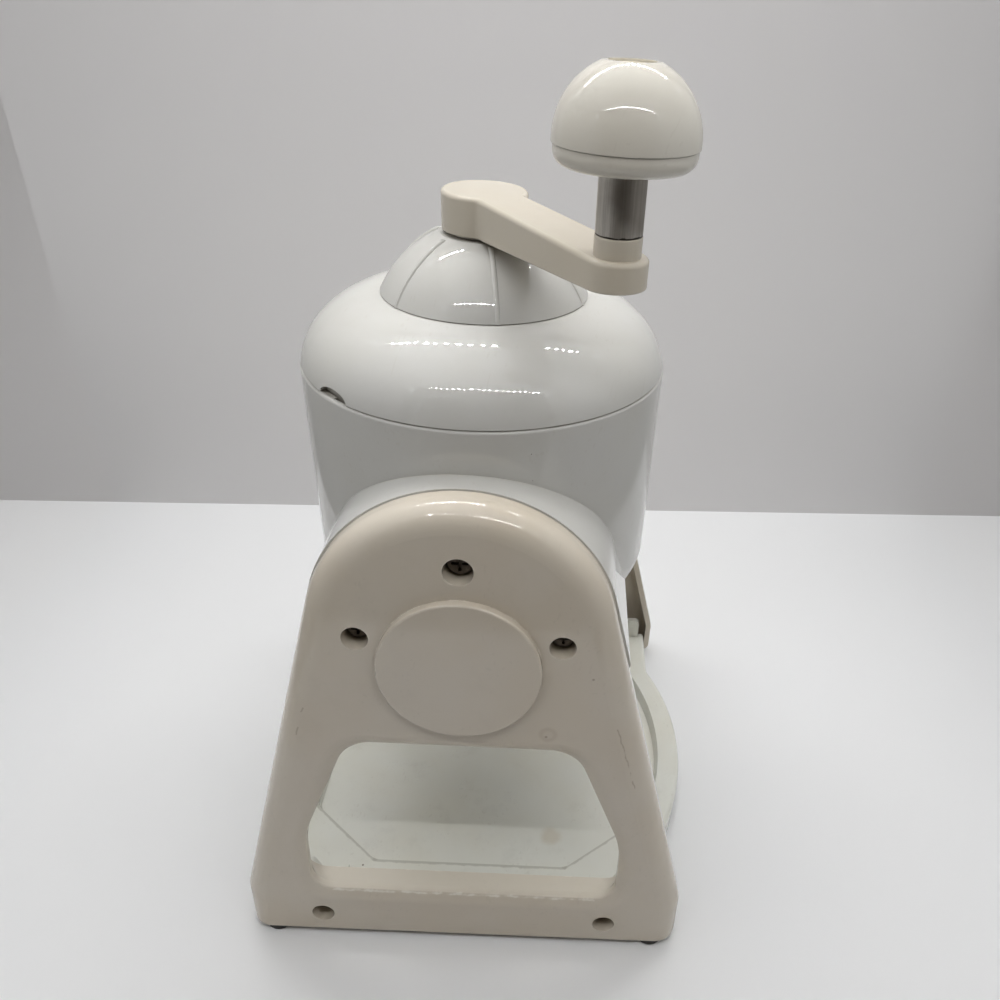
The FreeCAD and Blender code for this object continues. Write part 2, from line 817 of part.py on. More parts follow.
def upstand_outline():
    """Side view of the tray's edge against a leg: low in the middle, higher ears at the ends."""
    inner = upstand_ear_y - upstand_step
    low = tray_bottom_z - past
    return rounded_wire([
        (-upstand_end_y, low, 0), (-upstand_end_y, upstand_ear_z, upstand_round),
        (-upstand_ear_y, upstand_ear_z, upstand_round), (-inner, upstand_z, upstand_round),
        (inner, upstand_z, upstand_round), (upstand_ear_y, upstand_ear_z, upstand_round),
        (upstand_end_y, upstand_ear_z, upstand_round), (upstand_end_y, low, 0),
    ], side_vector)


def make_tray():
    body = raised(tray_outline(0), tray_bottom_z, tray_rim_z)
    body = rounded_edges(body, tray_edge_round, lambda edge: lies_at(edge, "Z", tray_rim_z))
    body = body.cut(lofted(tray_outline(tray_rim_width + tray_rim_run), tray_ledge_z,
                           tray_outline(tray_rim_width), tray_rim_z + clear_cut))
    body = body.cut(lofted(floor_outline(0), tray_floor_z,
                           floor_outline(tray_step_slope), tray_ledge_z + clear_cut))

    hollow = raised(tray_outline(tray_skin), tray_bottom_z - past, tray_floor_z - tray_skin)
    body = body.cut(hollow)
    under = raised(tray_outline(tray_skin), tray_bottom_z - past, tray_ledge_z - tray_skin)
    pan_skin = raised(floor_outline(tray_step_slope + tray_skin), 0, tray_rim_z)
    body = body.cut(under.cut(pan_skin))
    under_rim = raised(tray_outline(tray_skin), tray_bottom_z, tray_rim_z - tray_skin)
    body = body.cut(under_rim.cut(raised(tray_outline(tray_rim_width - tray_skin), 0, tray_rim_z)))

    upstand = prism(upstand_outline(), Vector(upstand_wall, 0, 0))
    upstand.translate(Vector(-upstand_wall - seat_gap, 0, 0))
    upstand = placed(upstand, leg_frame).cut(box(-far, far, -far, far, -far, tray_bottom_z))
    blocks = []
    for y, z in low_places:
        block = box(leg_inner_x, far, y - screw_block_half, y + screw_block_half,
                    tray_bottom_z, tray_rim_z - screw_block_drop)
        blocks.append(block.common(raised(tray_outline(0), 0, far)))
    for shape in [upstand] + blocks:
        body = body.fuse(shape).fuse(mirror_x(shape))
    cutter = beyond_leg_face(seat_gap)
    body = body.cut(cutter).cut(mirror_x(cutter))
    for hole in pilot_holes(low_places, small_screw_shank, leg_screw_bite):
        body = body.cut(hole).cut(mirror_x(hole))
    return body.removeSplitter()


def make_feet():
    solids = []
    for side_x in (-1, 1):
        for side_y in (-1, 1):
            x = side_x * foot_x
            y = side_y * foot_y
            pad = cylinder(foot_radius, 0, leg_bottom_z - foot_stud_gap, x, y)
            pad = rounded_edges(pad, foot_edge_round, lambda edge: lies_at(edge, "Z", 0))
            stud = cylinder(foot_stud_radius, sink, leg_bottom_z + plastic_wall, x, y)
            solids.append(pad.fuse(stud))
    return Part.makeCompound(solids)


# ---------------------------------------------------------------- lid and dome
def shoulder(inset, start_z):
    """Elliptic shoulder of the lid from a level up to the flat top."""
    wide = lid_shoulder_width - inset
    high = lid_shoulder_height - inset
    ellipse = Part.Ellipse(Vector(lid_centre_radius + wide, 0, lid_shoulder_z),
                           Vector(lid_centre_radius, 0, lid_shoulder_z + high),
                           Vector(lid_centre_radius, 0, lid_shoulder_z))
    start = math.asin((start_z - lid_shoulder_z) / high)
    radius = lid_centre_radius + wide * math.cos(start)
    return Part.ArcOfEllipse(ellipse, start, math.pi / 2).toShape(), radius


def make_lid():
    outer, edge_radius = shoulder(0, lid_bottom_z)
    skirt_inner = skirt_radius - skirt_wall
    wide = lid_shoulder_width - plastic_wall
    high = lid_shoulder_height - plastic_wall
    meet_z = lid_shoulder_z + high * math.sin(math.acos((skirt_inner - lid_centre_radius) / wide))
    inner, inner_radius = shoulder(plastic_wall, meet_z)
    ceiling = lid_top_z - plastic_wall
    skirt_z = lid_bottom_z - skirt_depth
    edges = [outer]
    edges += polyline([(lid_centre_radius, lid_top_z), (lid_bore_radius, lid_top_z),
                       (lid_bore_radius, ceiling), (lid_centre_radius, ceiling)])
    edges.append(inner)
    edges += polyline([(inner_radius, meet_z), (skirt_inner, skirt_z), (skirt_radius, skirt_z),
                       (skirt_radius, lid_bottom_z), (edge_radius, lid_bottom_z)])
    lid = spun(edges)
    for angle in key_angles:
        half = key_width / 2
        key = box(skirt_radius - sink, skirt_radius + key_height, -half, half, skirt_z,
                  lid_bottom_z)
        lid = lid.fuse(turned(key, angle))
    notch = Part.makeCylinder(1.0, far, Vector(0, 0, 0), Vector(1, 0, 0))
    stretch = FreeCAD.Matrix()
    stretch.scale(1.0, notch_width / 2, notch_height)
    notch = notch.transformGeometry(stretch)
    notch.translate(Vector(skirt_radius + clear_cut, 0, lid_bottom_z))
    lid = lid.cut(turned(notch, notch_angle))
    for angle in dome_screw_angles:
        hole = cylinder(small_screw_shank + screw_hole_gap, ceiling - past, lid_top_z + past,
                        dome_post_circle, 0)
        lid = lid.cut(turned(hole, angle))
    return lid


def dome_shell(radius, z0, z1):
    ball = Part.makeSphere(radius, Vector(0, 0, dome_centre_z))
    return ball.common(box(-far, far, -far, far, z0, z1))


def make_dome():
    shell = dome_shell(dome_radius, dome_base_z, dome_flat_z)
    hollow = dome_shell(dome_radius - dome_wall, dome_base_z - past, dome_ceiling_z)
    ribs = []
    for index in range(rib_count // 2):
        hoop = Part.makeTorus(dome_radius - rib_sink, rib_radius,
                              Vector(0, 0, dome_centre_z + rib_lift), Vector(0, 1, 0))
        ribs.append(turned(hoop, rib_first_angle + index * 360.0 / rib_count))
    band = box(-far, far, -far, far, dome_base_z, dome_flat_z - rib_top_drop)
    post_room = dome_shell(dome_radius - sink, 0, dome_flat_z - sink)
    posts = []
    for angle in dome_screw_angles:
        post = cylinder(dome_post_radius, dome_base_z, dome_flat_z, dome_post_circle, 0)
        posts.append(turned(post, angle).common(post_room))
    dome = shell.cut(hollow)
    for post in posts:
        dome = dome.fuse(post)
    for rib in ribs:
        dome = dome.fuse(rib.common(band).cut(hollow))
    dome = dome.cut(cylinder(bush_radius + seat_gap, dome_base_z, dome_flat_z + past))
    for angle in dome_screw_angles:
        pilot = cylinder(small_screw_shank + pilot_gap, dome_base_z - past,
                         dome_base_z + dome_screw_bite + pilot_spare, dome_post_circle, 0)
        dome = dome.cut(turned(pilot, angle))
    return dome


def make_dome_screws():
    seat = lid_top_z - plastic_wall - seat_gap
    solids = []
    for angle in dome_screw_angles:
        one = screw(small_screw_head, small_screw_shank, plastic_wall + dome_screw_bite)
        one.rotate(Vector(0, 0, 0), Vector(0, 1, 0), 90)
        one.translate(Vector(dome_post_circle, 0, seat))
        solids.append(turned(one, angle))
    return Part.makeCompound(solids)


def make_bush():
    sleeve = cylinder(bush_radius, bush_bottom_z, dome_flat_z)
    flange = cylinder(bush_flange_radius, dome_ceiling_z - bush_flange_height,
                      dome_ceiling_z - seat_gap)
    bore = cylinder(shaft_radius + running_gap, bush_bottom_z - past, dome_flat_z + past)
    return sleeve.fuse(flange).cut(bore)


# ---------------------------------------------------------------- feed stack
def make_thrust_washer():
    return tube(thrust_washer_radius, shaft_radius + running_gap, thrust_washer_z,
                thrust_washer_z + thrust_washer_height)


def make_spring_washer():
    return tube(spring_washer_radius, shaft_radius + running_gap, spring_washer_z,
                spring_washer_z + spring_washer_height)


def make_spring():
    low = spring_bottom_z + spring_wire_radius
    height = spring_top_z - spring_bottom_z - 2 * spring_wire_radius
    path = Part.makeHelix(height / spring_turns, height, spring_mean_radius)
    path.translate(Vector(0, 0, low))
    section = Part.Wire(Part.makeCircle(spring_wire_radius, Vector(spring_mean_radius, 0, low),
                                        Vector(0, 1, 0)))
    return Part.Wire(path).makePipeShell([section], True, True)


def make_shaft():
    upper = cylinder(shaft_radius, pusher_hub_z, hub_bore_top_z)
    foot_z = pusher_disc_z - spike_plate_height - 2 * nut_gap - nut_height - shaft_foot_length
    neck = cylinder(shaft_neck_radius, foot_z, pusher_hub_z)
    shaft = upper.fuse(neck)
    return rounded_edges(shaft, shaft_end_round, lambda edge: lies_at(edge, "Z", hub_bore_top_z)
                         or lies_at(edge, "Z", foot_z))


def make_pusher():
    top = pusher_disc_z + pusher_disc_height
    disc = cylinder(pusher_radius, pusher_disc_z, top)
    disc = rounded_edges(disc, pusher_edge_round, lambda edge: edge.Length > pusher_radius)
    hub = cylinder(pusher_hub_radius, pusher_disc_z, pusher_hub_z)
    pusher = disc.fuse(hub)
    rib_end = pusher_radius - pusher_rib_inset
    rib_top = pusher_hub_z - sink
    rib = joined([Vector(0, 0, pusher_disc_z), Vector(rib_end, 0, pusher_disc_z),
                  Vector(rib_end, 0, top), Vector(pusher_hub_radius - sink, 0, rib_top),
                  Vector(0, 0, rib_top)])
    rib = prism(rib, Vector(0, pusher_rib_width, 0))
    rib.translate(Vector(0, -pusher_rib_width / 2, 0))
    for index in range(pusher_rib_count):
        pusher = pusher.fuse(turned(rib, index * 360.0 / pusher_rib_count))
    bore = cylinder(shaft_neck_radius + pilot_gap, pusher_disc_z - past, pusher_hub_z + past)
    return pusher.cut(bore).removeSplitter()


def make_spike_plate():
    top = pusher_disc_z - nut_gap
    low = top - spike_plate_height
    plate = tube(spike_plate_radius, shaft_neck_radius + pilot_gap, low, top)
    for index in range(spike_count):
        spike = Part.makeCone(spike_tip_radius, spike_radius, spike_length,
                              Vector(spike_circle, 0, low - spike_length + clear_cut))
        plate = plate.fuse(turned(spike, index * 360.0 / spike_count))
    return plate


def make_pusher_nut():
    top = pusher_disc_z - nut_gap - spike_plate_height - nut_gap
    corner_radius = nut_across_flats / math.cos(math.radians(30)) / 2
    first = Vector(corner_radius, 0, top - nut_height)
    turn = Rotation(Vector(0, 0, 1), 60)
    corners = [first]
    for step in range(5):
        corners.append(turn.multVec(corners[-1]))
    nut = prism(joined(corners), Vector(0, 0, nut_height))
    return nut.cut(cylinder(shaft_neck_radius + pilot_gap, top - nut_height - past, top + past))


# ---------------------------------------------------------------- crank
def make_arm():
    tip = arm_length + arm_half_width
    slope = arm_top_fall / tip
    crude_z = arm_top_z + arm_top_fall
    hub = cylinder(hub_radius, arm_bottom_z, crude_z)
    bar = box(0, arm_length, -arm_half_width, arm_half_width, arm_bottom_z, crude_z)
    end = cylinder(arm_half_width, arm_bottom_z, crude_z, arm_length, 0)
    arm = fuse_all([hub, bar, end])
    above = prism(joined([Vector(-tip - past, -far, arm_top_z + slope * (tip + past)),
                          Vector(tip + past, -far, arm_top_z - slope * (tip + past)),
                          Vector(tip + past, -far, far), Vector(-tip - past, -far, far)]),
                  Vector(0, 2 * far, 0))
    arm = arm.cut(above)
    taper = joined([Vector(hub_radius, 0, arm_bottom_z), Vector(tip, 0, arm_end_bottom_z),
                    Vector(tip, 0, arm_bottom_z - past), Vector(hub_radius, 0, arm_bottom_z - past)])
    taper = prism(taper, Vector(0, 2 * hub_radius, 0))
    taper.translate(Vector(0, -hub_radius, 0))
    arm = arm.cut(taper)

    def at_waist(edge):
        span = edge.BoundBox
        upright = span.ZLength > arm_height / 2 and span.XLength < near and span.YLength < near
        return upright and 0 < span.XMin < hub_radius

    def on_top(edge):
        middle = edge.valueAt((edge.FirstParameter + edge.LastParameter) / 2)
        places = [vertex.Point for vertex in edge.Vertexes] + [middle]
        return all(abs(place.z - arm_top_z + slope * place.x) < near for place in places)

    arm = rounded_edges(arm, arm_waist_round, at_waist)
    arm = rounded_edges(arm, arm_top_round, on_top)

    def under_arm(edge):
        return edge.BoundBox.ZMax < arm_end_bottom_z + near and edge.BoundBox.XLength > near

    arm = rounded_edges(arm, arm_bottom_round, under_arm)
    boss = cylinder(boss_radius, arm_top_z - arm_top_fall - sink, boss_top_z, arm_length, 0)
    boss = rounded_edges(boss, boss_edge_round, lambda edge: lies_at(edge, "Z", boss_top_z))
    arm = arm.fuse(boss)
    web_low = spindle_stub_z - spindle_web
    bores = [
        cylinder(shaft_radius + pilot_gap, arm_bottom_z - past, hub_bore_top_z + pilot_gap),
        cylinder(spindle_stub_radius + pilot_gap, spindle_stub_z, boss_top_z + past, arm_length, 0),
        cylinder(small_screw_shank + screw_hole_gap, web_low - past, spindle_stub_z + past,
                 arm_length, 0),
        cylinder(small_screw_head + spindle_screw_room, arm_bottom_z - past, web_low,
                 arm_length, 0),
    ]
    for bore in bores:
        arm = arm.cut(bore)
    return turned(arm, crank_angle)


def at_pin(shape):
    copy = shape.copy()
    copy.translate(pin_place)
    return turned(copy, crank_angle)


def make_spindle():
    body = cylinder(spindle_radius, boss_top_z + spindle_foot_gap, spindle_shoulder_z)
    journal = cylinder(spindle_journal_radius, spindle_shoulder_z, spindle_top_z)
    stub = cylinder(spindle_stub_radius, spindle_stub_z + seat_gap, boss_top_z + sink)
    spindle = body.fuse(journal).fuse(stub)
    low_hole = cylinder(small_screw_shank + pilot_gap, spindle_stub_z - past,
                        spindle_stub_z + spindle_screw_bite + pilot_spare)
    top_hole = cylinder(knob_screw_shank + pilot_gap,
                        spindle_top_z - knob_screw_length - pilot_spare, spindle_top_z + past)
    return at_pin(spindle.cut(low_hole).cut(top_hole))


def make_spindle_screw():
    one = screw(small_screw_head, small_screw_shank, spindle_web + spindle_screw_bite)
    one.rotate(Vector(0, 0, 0), Vector(0, 1, 0), 90)
    one.translate(Vector(0, 0, spindle_stub_z - spindle_web - seat_gap))
    return at_pin(one)


def make_knob_washer():
    low = spindle_top_z + seat_gap
    return at_pin(tube(knob_washer_radius, knob_screw_shank + screw_hole_gap, low,
                       low + knob_washer_height))


def make_knob_screw():
    seat = spindle_top_z + knob_washer_height + 2 * seat_gap
    one = screw(knob_screw_head, knob_screw_shank, seat - spindle_top_z + knob_screw_length)
    one.rotate(Vector(0, 0, 0), Vector(0, 1, 0), -90)
    one.translate(Vector(0, 0, seat))
    return at_pin(one)


# ---------------------------------------------------------------- knob
def make_knob_shell():
    ball = Part.makeSphere(knob_radius, Vector(0, 0, knob_centre_z))
    shell = ball.common(cylinder(far, knob_seam_z, knob_top_z))
    shell = rounded_edges(shell, knob_rim_round, lambda edge: lies_at(edge, "Z", knob_top_z))
    shell = rounded_edges(shell, knob_lip_round, lambda edge: lies_at(edge, "Z", knob_seam_z))
    bore = spindle_journal_radius + running_gap
    well_floor = spindle_top_z - knob_end_play
    cap_floor = knob_top_z - knob_cap_height
    hollow = Part.makeSphere(knob_radius - knob_wall, Vector(0, 0, knob_centre_z))
    hollow = hollow.common(cylinder(far, knob_seam_z - past, well_floor - knob_web))
    hollow = hollow.cut(cylinder(bore + knob_tube_wall, knob_seam_z - past, far))
    cuts = [
        hollow,
        cylinder(bore, knob_seam_z - past, well_floor),
        cylinder(knob_well_radius, well_floor, cap_floor - knob_cap_seat),
        cylinder(knob_cap_radius - knob_cap_lip, cap_floor - knob_web, cap_floor + past),
        cylinder(knob_cap_radius + knob_cap_gap, cap_floor, knob_top_z + past),
    ]
    for cut in cuts:
        shell = shell.cut(cut)
    return at_pin(shell)


def make_knob_ring():
    top = knob_seam_z - knob_seam_gap
    ring = cylinder(knob_radius - knob_ring_inset, knob_bottom_z, top)
    ring = rounded_edges(ring, knob_ring_round, lambda edge: lies_at(edge, "Z", knob_bottom_z))
    spigot_radius = knob_radius - knob_wall - spigot_gap
    inner_radius = spigot_radius - spigot_wall
    spigot = tube(spigot_radius, inner_radius, top - sink, knob_seam_z + knob_spigot_height)
    ring = ring.cut(cylinder(inner_radius, knob_bottom_z + knob_wall, top + past)).fuse(spigot)
    collar = cylinder(spindle_radius + knob_collar_wall, knob_bottom_z, spindle_shoulder_z)
    ring = ring.fuse(collar)
    return at_pin(ring.cut(cylinder(spindle_radius + running_gap, 0, far)).removeSplitter())


def make_knob_cap():
    low = knob_top_z - knob_cap_height + knob_cap_gap
    top = knob_top_z - knob_cap_sunk
    cap = cylinder(knob_cap_radius, low, top)
    cap = rounded_edges(cap, knob_cap_round, lambda edge: lies_at(edge, "Z", top))
    return at_pin(cap)


# ---------------------------------------------------------------- nodes
def make_nodes():
    right_leg = make_right_leg()
    return {
        "hopper": make_hopper_with_slot(),
        "right_leg": right_leg,
        "left_leg": mirror_x(right_leg),
        "leg_top_screws": leg_screws(top_places, large_screw_head, large_screw_shank,
                                     leg_screw_bite),
        "leg_side_screws": leg_screws(side_places, small_screw_head, small_screw_shank,
                                      leg_screw_bite),
        "leg_base_screws": leg_screws(low_places, small_screw_head, small_screw_shank,
                                      leg_screw_bite),
        "base_tray": make_tray(),
        "rubber_feet": make_feet(),
        "blade": make_blade(),
        "blade_screws": make_blade_screws(),
        "lid": make_lid(),
        "lid_dome": make_dome(),
        "dome_screws": make_dome_screws(),
        "shaft_bush": make_bush(),
        "thrust_washer": make_thrust_washer(),
        "spring_washer": make_spring_washer(),
        "feed_spring": make_spring(),
        "crank_shaft": make_shaft(),
        "ice_pusher": make_pusher(),
        "spike_plate": make_spike_plate(),
        "pusher_nut": make_pusher_nut(),
        "crank_arm": make_arm(),
        "knob_spindle": make_spindle(),
        "spindle_screw": make_spindle_screw(),
        "knob_washer": make_knob_washer(),
        "knob_screw": make_knob_screw(),
        "knob_shell": make_knob_shell(),
        "knob_ring": make_knob_ring(),
        "knob_cap": make_knob_cap(),
    }


os.makedirs("parts", exist_ok=True)
for name, shape in make_nodes().items():
    shape.translate(footprint_shift)
    shape.exportStep("parts/" + name + ".step")
    print(name, "solids", len(shape.Solids), "valid", shape.isValid(),
          "volume cm3", round(shape.Volume / 1000, 2))
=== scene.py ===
# %% [markdown]
# # A hand cranked ice shaver
# The machine is a round hopper between two arched side legs, on a low tray.  A crank on the
# lid turns a spiked pusher that drags ice cubes over a blade in the hopper's floor.  The solid
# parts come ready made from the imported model, so this lesson is about light and finishes: how
# to make glossy white and yellowed cream plastic, scratched metal and worn edges out of nodes.

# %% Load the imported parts
import math

import bpy
from mathutils import Matrix, Vector


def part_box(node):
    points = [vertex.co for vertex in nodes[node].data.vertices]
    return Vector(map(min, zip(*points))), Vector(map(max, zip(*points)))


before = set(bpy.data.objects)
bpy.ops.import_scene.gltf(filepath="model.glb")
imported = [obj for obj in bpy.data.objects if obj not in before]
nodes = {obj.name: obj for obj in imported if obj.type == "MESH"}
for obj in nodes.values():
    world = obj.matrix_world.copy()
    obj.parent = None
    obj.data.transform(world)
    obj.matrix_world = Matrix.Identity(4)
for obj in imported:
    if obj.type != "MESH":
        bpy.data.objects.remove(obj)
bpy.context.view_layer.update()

hopper_low, hopper_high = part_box("hopper")
axis_y = (hopper_low.y + hopper_high.y) / 2
print("parts:", len(nodes), "axis of the hopper at y", round(axis_y, 5))

# %% [markdown]
# ## The camera
# The machine is seen from its left side, a little from above, from only 0.3 m away, so near
# edges look much larger than far ones.  A camera is a place and three directions: forward,
# right and up.  They are built from a heading, a downward tilt and a small roll, because these
# are the angles at which a camera is held in the hand.

# %% Camera
def camera_axes(heading, tilt, roll):
    """Right, up and back directions of a camera that looks along +X before it is turned."""
    level = Vector((math.cos(heading), -math.sin(heading), 0))
    side = Vector((-math.sin(heading), -math.cos(heading), 0))
    ahead = math.cos(tilt) * level - math.sin(tilt) * Vector((0, 0, 1))
    over = math.sin(tilt) * level + math.cos(tilt) * Vector((0, 0, 1))
    right = math.cos(roll) * side + math.sin(roll) * over
    up = -math.sin(roll) * side + math.cos(roll) * over
    return right, up, -ahead


camera_data = bpy.data.cameras.new("side_view")
camera = bpy.data.objects.new("side_view", camera_data)
bpy.context.scene.collection.objects.link(camera)
held_heading, held_tilt, held_roll = (math.radians(angle) for angle in (1.19, 32.77, 3.52))
right, up, back = camera_axes(held_heading, held_tilt, held_roll)
camera.matrix_world = Matrix((right, up, back)).transposed().to_4x4()
camera.location = (-0.2753, axis_y - 0.0272, 0.3095)
camera_data.sensor_width = 36.0
camera_data.lens = 30.51
camera_data.shift_x = -0.0711
camera_data.shift_y = 0.0241
camera_data.clip_start = 0.01
bpy.context.scene.camera = camera
print("camera", [round(value, 3) for value in camera.location])

# %% [markdown]
# ## A small kit for building nodes
# Finishes share effects such as moulding ripple, specks and scratches.  Each effect is a node
# group with named inputs and outputs, built once and placed in every finish with its own
# values.  A few helpers keep that short: one makes a group with its sockets, one adds a node
# and one adds a finished group, and both plug in what they are given by the name of the input.

# %% Helpers for nodes
SOCKETS = {"value": "NodeSocketFloat", "color": "NodeSocketColor", "vector": "NodeSocketVector"}


def new_group(name, inputs, outputs):
    """Node group with sockets given as {name: (kind, default)} and {name: kind}."""
    tree = bpy.data.node_groups.new(name, "ShaderNodeTree")
    for label, (kind, default) in inputs.items():
        socket = tree.interface.new_socket(label, in_out="INPUT", socket_type=SOCKETS[kind])
        socket.default_value = default
    for label, kind in outputs.items():
        tree.interface.new_socket(label, in_out="OUTPUT", socket_type=SOCKETS[kind])
    return tree, tree.nodes.new("NodeGroupInput"), tree.nodes.new("NodeGroupOutput")


def plug_in(tree, made, inputs):
    """Gives a node its inputs: values or other nodes' outputs, by name or by 'n' and number."""
    for label, value in inputs.items():
        number = label[1:]
        key = int(number) if label[0] == "n" and number.isdigit() else label.replace("_", " ")
        if isinstance(value, bpy.types.NodeSocket):
            tree.links.new(value, made.inputs[key])
        else:
            made.inputs[key].default_value = value
    return made


def node(tree, kind, settings=None, **inputs):
    """Adds a node with its settings and its inputs."""
    made = tree.nodes.new("ShaderNode" + kind)
    for label, value in (settings or {}).items():
        setattr(made, label, value)
    return plug_in(tree, made, inputs)


def maths(tree, operation, first, second=0.0, clamp=False):
    """Result of one sum on two numbers."""
    made = node(tree, "Math", {"operation": operation, "use_clamp": clamp}, n0=first, n1=second)
    return made.outputs[0]


def vectors(tree, operation, first, second=(0, 0, 0)):
    """Result of one sum on two vectors: a vector, or a number for products and distances."""
    made = node(tree, "VectorMath", {"operation": operation}, n0=first, n1=second)
    return made.outputs["Value" if operation in ("DOT_PRODUCT", "LENGTH", "DISTANCE") else "Vector"]


def remap(tree, value, from_low, from_high, to_low=0.0, to_high=1.0):
    """Smooth step from one range of values to another."""
    made = node(tree, "MapRange", {"interpolation_type": "SMOOTHSTEP"}, Value=value,
                From_Min=from_low, From_Max=from_high, To_Min=to_low, To_Max=to_high)
    return made.outputs["Result"]


def mixed(tree, factor, first, second, blend="MIX"):
    """Colour mix of two colours."""
    made = node(tree, "Mix", {"data_type": "RGBA", "blend_type": blend}, n0=factor, n6=first,
                n7=second)
    return made.outputs[2]


def place_of(tree):
    """Position on the part in metres, which stays put on it when the part moves."""
    return tree.nodes.new("ShaderNodeTexCoord").outputs["Object"]


def use_group(tree, group, **inputs):
    """Adds a finished group and returns its outputs."""
    made = tree.nodes.new("ShaderNodeGroup")
    made.node_tree = group
    return plug_in(tree, made, inputs).outputs


print("socket kinds:", sorted(SOCKETS))

# %% [markdown]
# ## Floor and backdrop
# The machine stands in a small white light box: a cloth floor, a cloth wall behind, bright
# panels at both sides and above, and an open front.  Every wall shows only its inner side and
# is clear from behind, so the machine can be seen from all round.  They could be thick boxes,
# but those would hide the machine from behind.

# %% Finish and mesh of one-sided sheets
ceiling_z = 0.600


def one_sided(name, color, strength=0.0, low_strength=0.0):
    """Cloth, or a panel that glows more towards its top; either is clear from behind."""
    material = bpy.data.materials.new(name)
    material.use_nodes = True
    tree = material.node_tree
    front = tree.nodes["Principled BSDF"]
    front.inputs["Base Color"].default_value = (*color, 1)
    front.inputs["Roughness"].default_value = 0.9
    if strength > 0:
        level = node(tree, "SeparateXYZ", Vector=place_of(tree)).outputs[2]
        glow = remap(tree, level, 0.0, ceiling_z, low_strength or strength, strength)
        front = node(tree, "Emission", Color=(*color, 1), Strength=glow)
    behind = tree.nodes.new("ShaderNodeNewGeometry").outputs["Backfacing"]
    clear = tree.nodes.new("ShaderNodeBsdfTransparent")
    both = node(tree, "MixShader", n0=behind, n1=front.outputs[0], n2=clear.outputs[0])
    tree.links.new(both.outputs[0], tree.nodes["Material Output"].inputs["Surface"])
    return material


def sheet(name, corners, material, seen=True):
    """Flat pieces from lists of four corners, counter-clockwise seen from their front."""
    mesh = bpy.data.meshes.new(name)
    points = [corner for piece in corners for corner in piece]
    mesh.from_pydata(points, [], [range(i, i + 4) for i in range(0, len(points), 4)])
    mesh.materials.append(material)
    piece = bpy.data.objects.new(name, mesh)
    piece.visible_camera = seen
    bpy.context.scene.collection.objects.link(piece)


print("the box is", ceiling_z, "m high")

# %% Cloth floor and table
front_x, floor_reach = -0.300, 3.0
floor_cloth = one_sided("floor_cotton", (0.83, 0.835, 0.84))
sheet("floor", [[(front_x, -floor_reach, 0), (floor_reach, -floor_reach, 0),
                 (floor_reach, floor_reach, 0), (front_x, floor_reach, 0)]], floor_cloth)
table = one_sided("table", (0.15, 0.14, 0.13))
sheet("table_top", [[(-floor_reach, -floor_reach, 0), (front_x, -floor_reach, 0),
                     (front_x, floor_reach, 0), (-floor_reach, floor_reach, 0)]], table)
print("floor and table join at x", front_x)

# %% [markdown]
# ## Wall behind
# The cloth of the wall carries painted shade: it is darker towards its top, and it stands a
# little askew.  More lamps could shade it, but a soft change of tint with height is steadier,
# and it leaves the light on the machine alone.

# %% Cloth wall
pale_cloth, painted_shade_cloth = (0.68, 0.67, 0.67), (0.39, 0.38, 0.38)
wall_cloth = one_sided("wall_cotton", pale_cloth)
wall_tree = wall_cloth.node_tree
height = node(wall_tree, "SeparateXYZ", Vector=place_of(wall_tree)).outputs[2]
shade_from, shade_to = 0.10, 0.42
upward = remap(wall_tree, height, shade_from, shade_to)
# painted shade: the wall's tint darkens towards its top
shaded = mixed(wall_tree, upward, (*pale_cloth, 1), (*painted_shade_cloth, 1))
wall_tree.links.new(shaded, wall_tree.nodes["Principled BSDF"].inputs["Base Color"])
back_x, wall_reach, lean = 0.222, 1.0, 0.065
sheet("back_wall", [[(back_x - lean, axis_y + wall_reach, 0),
                     (back_x + lean, axis_y - wall_reach, 0),
                     (back_x + lean, axis_y - wall_reach, wall_reach),
                     (back_x - lean, axis_y + wall_reach, wall_reach)]], wall_cloth)
print("light box", round(back_x - front_x, 3), "m deep")

# %% [markdown]
# ## Light
# The side walls and the ceiling glow softly, as cloth lit from outside does, and more so near
# the top.  The front is open to a dim room, so whatever faces the front lies in soft shade, and
# a narrow frame closes it above and at one side.  Large glowing sheets are used and not plain
# area lamps, because their reflection in glossy plastic has the shape of a real box.

# %% Glowing panels
right_y, left_y, opening_z = axis_y - 0.290, axis_y + 0.268, 0.450
side_glow = one_sided("side_glow", (1.0, 1.0, 1.0), 0.90, 0.26)
top_glow = one_sided("top_glow", (1.0, 1.0, 1.0), 1.2)
front_glow = one_sided("front_glow", (1.0, 1.0, 1.0), 0.16)
sheet("left_wall", [[(front_x, left_y, 0), (back_x, left_y, 0),
                     (back_x, left_y, ceiling_z), (front_x, left_y, ceiling_z)]], side_glow,
      seen=False)
sheet("right_wall", [[(back_x, right_y, 0), (front_x, right_y, 0),
                      (front_x, right_y, ceiling_z), (back_x, right_y, ceiling_z)]], side_glow,
      seen=False)
sheet("ceiling", [[(front_x, right_y, ceiling_z), (front_x, left_y, ceiling_z),
                   (back_x, left_y, ceiling_z), (back_x, right_y, ceiling_z)]], top_glow,
      seen=False)
jamb_y = axis_y + 0.185
sheet("front_frame", [
    [(front_x, right_y, opening_z), (front_x, left_y, opening_z),
     (front_x, left_y, ceiling_z), (front_x, right_y, ceiling_z)],
    [(front_x, jamb_y, 0), (front_x, left_y, 0),
     (front_x, left_y, opening_z), (front_x, jamb_y, opening_z)]], front_glow, seen=False)
print("panels", round(left_y - right_y, 3), "m apart, opening", opening_z, "m high")

# %% [markdown]
# ## Hem and lit spots
# Two small things of the box show as fine bright marks on glossy edges: the piped hem around the
# opening, which catches the light, and the places on the side walls that the ends of the lamp
# strips shine on.  Both are thin glowing sheets a millimetre in front of their panels.

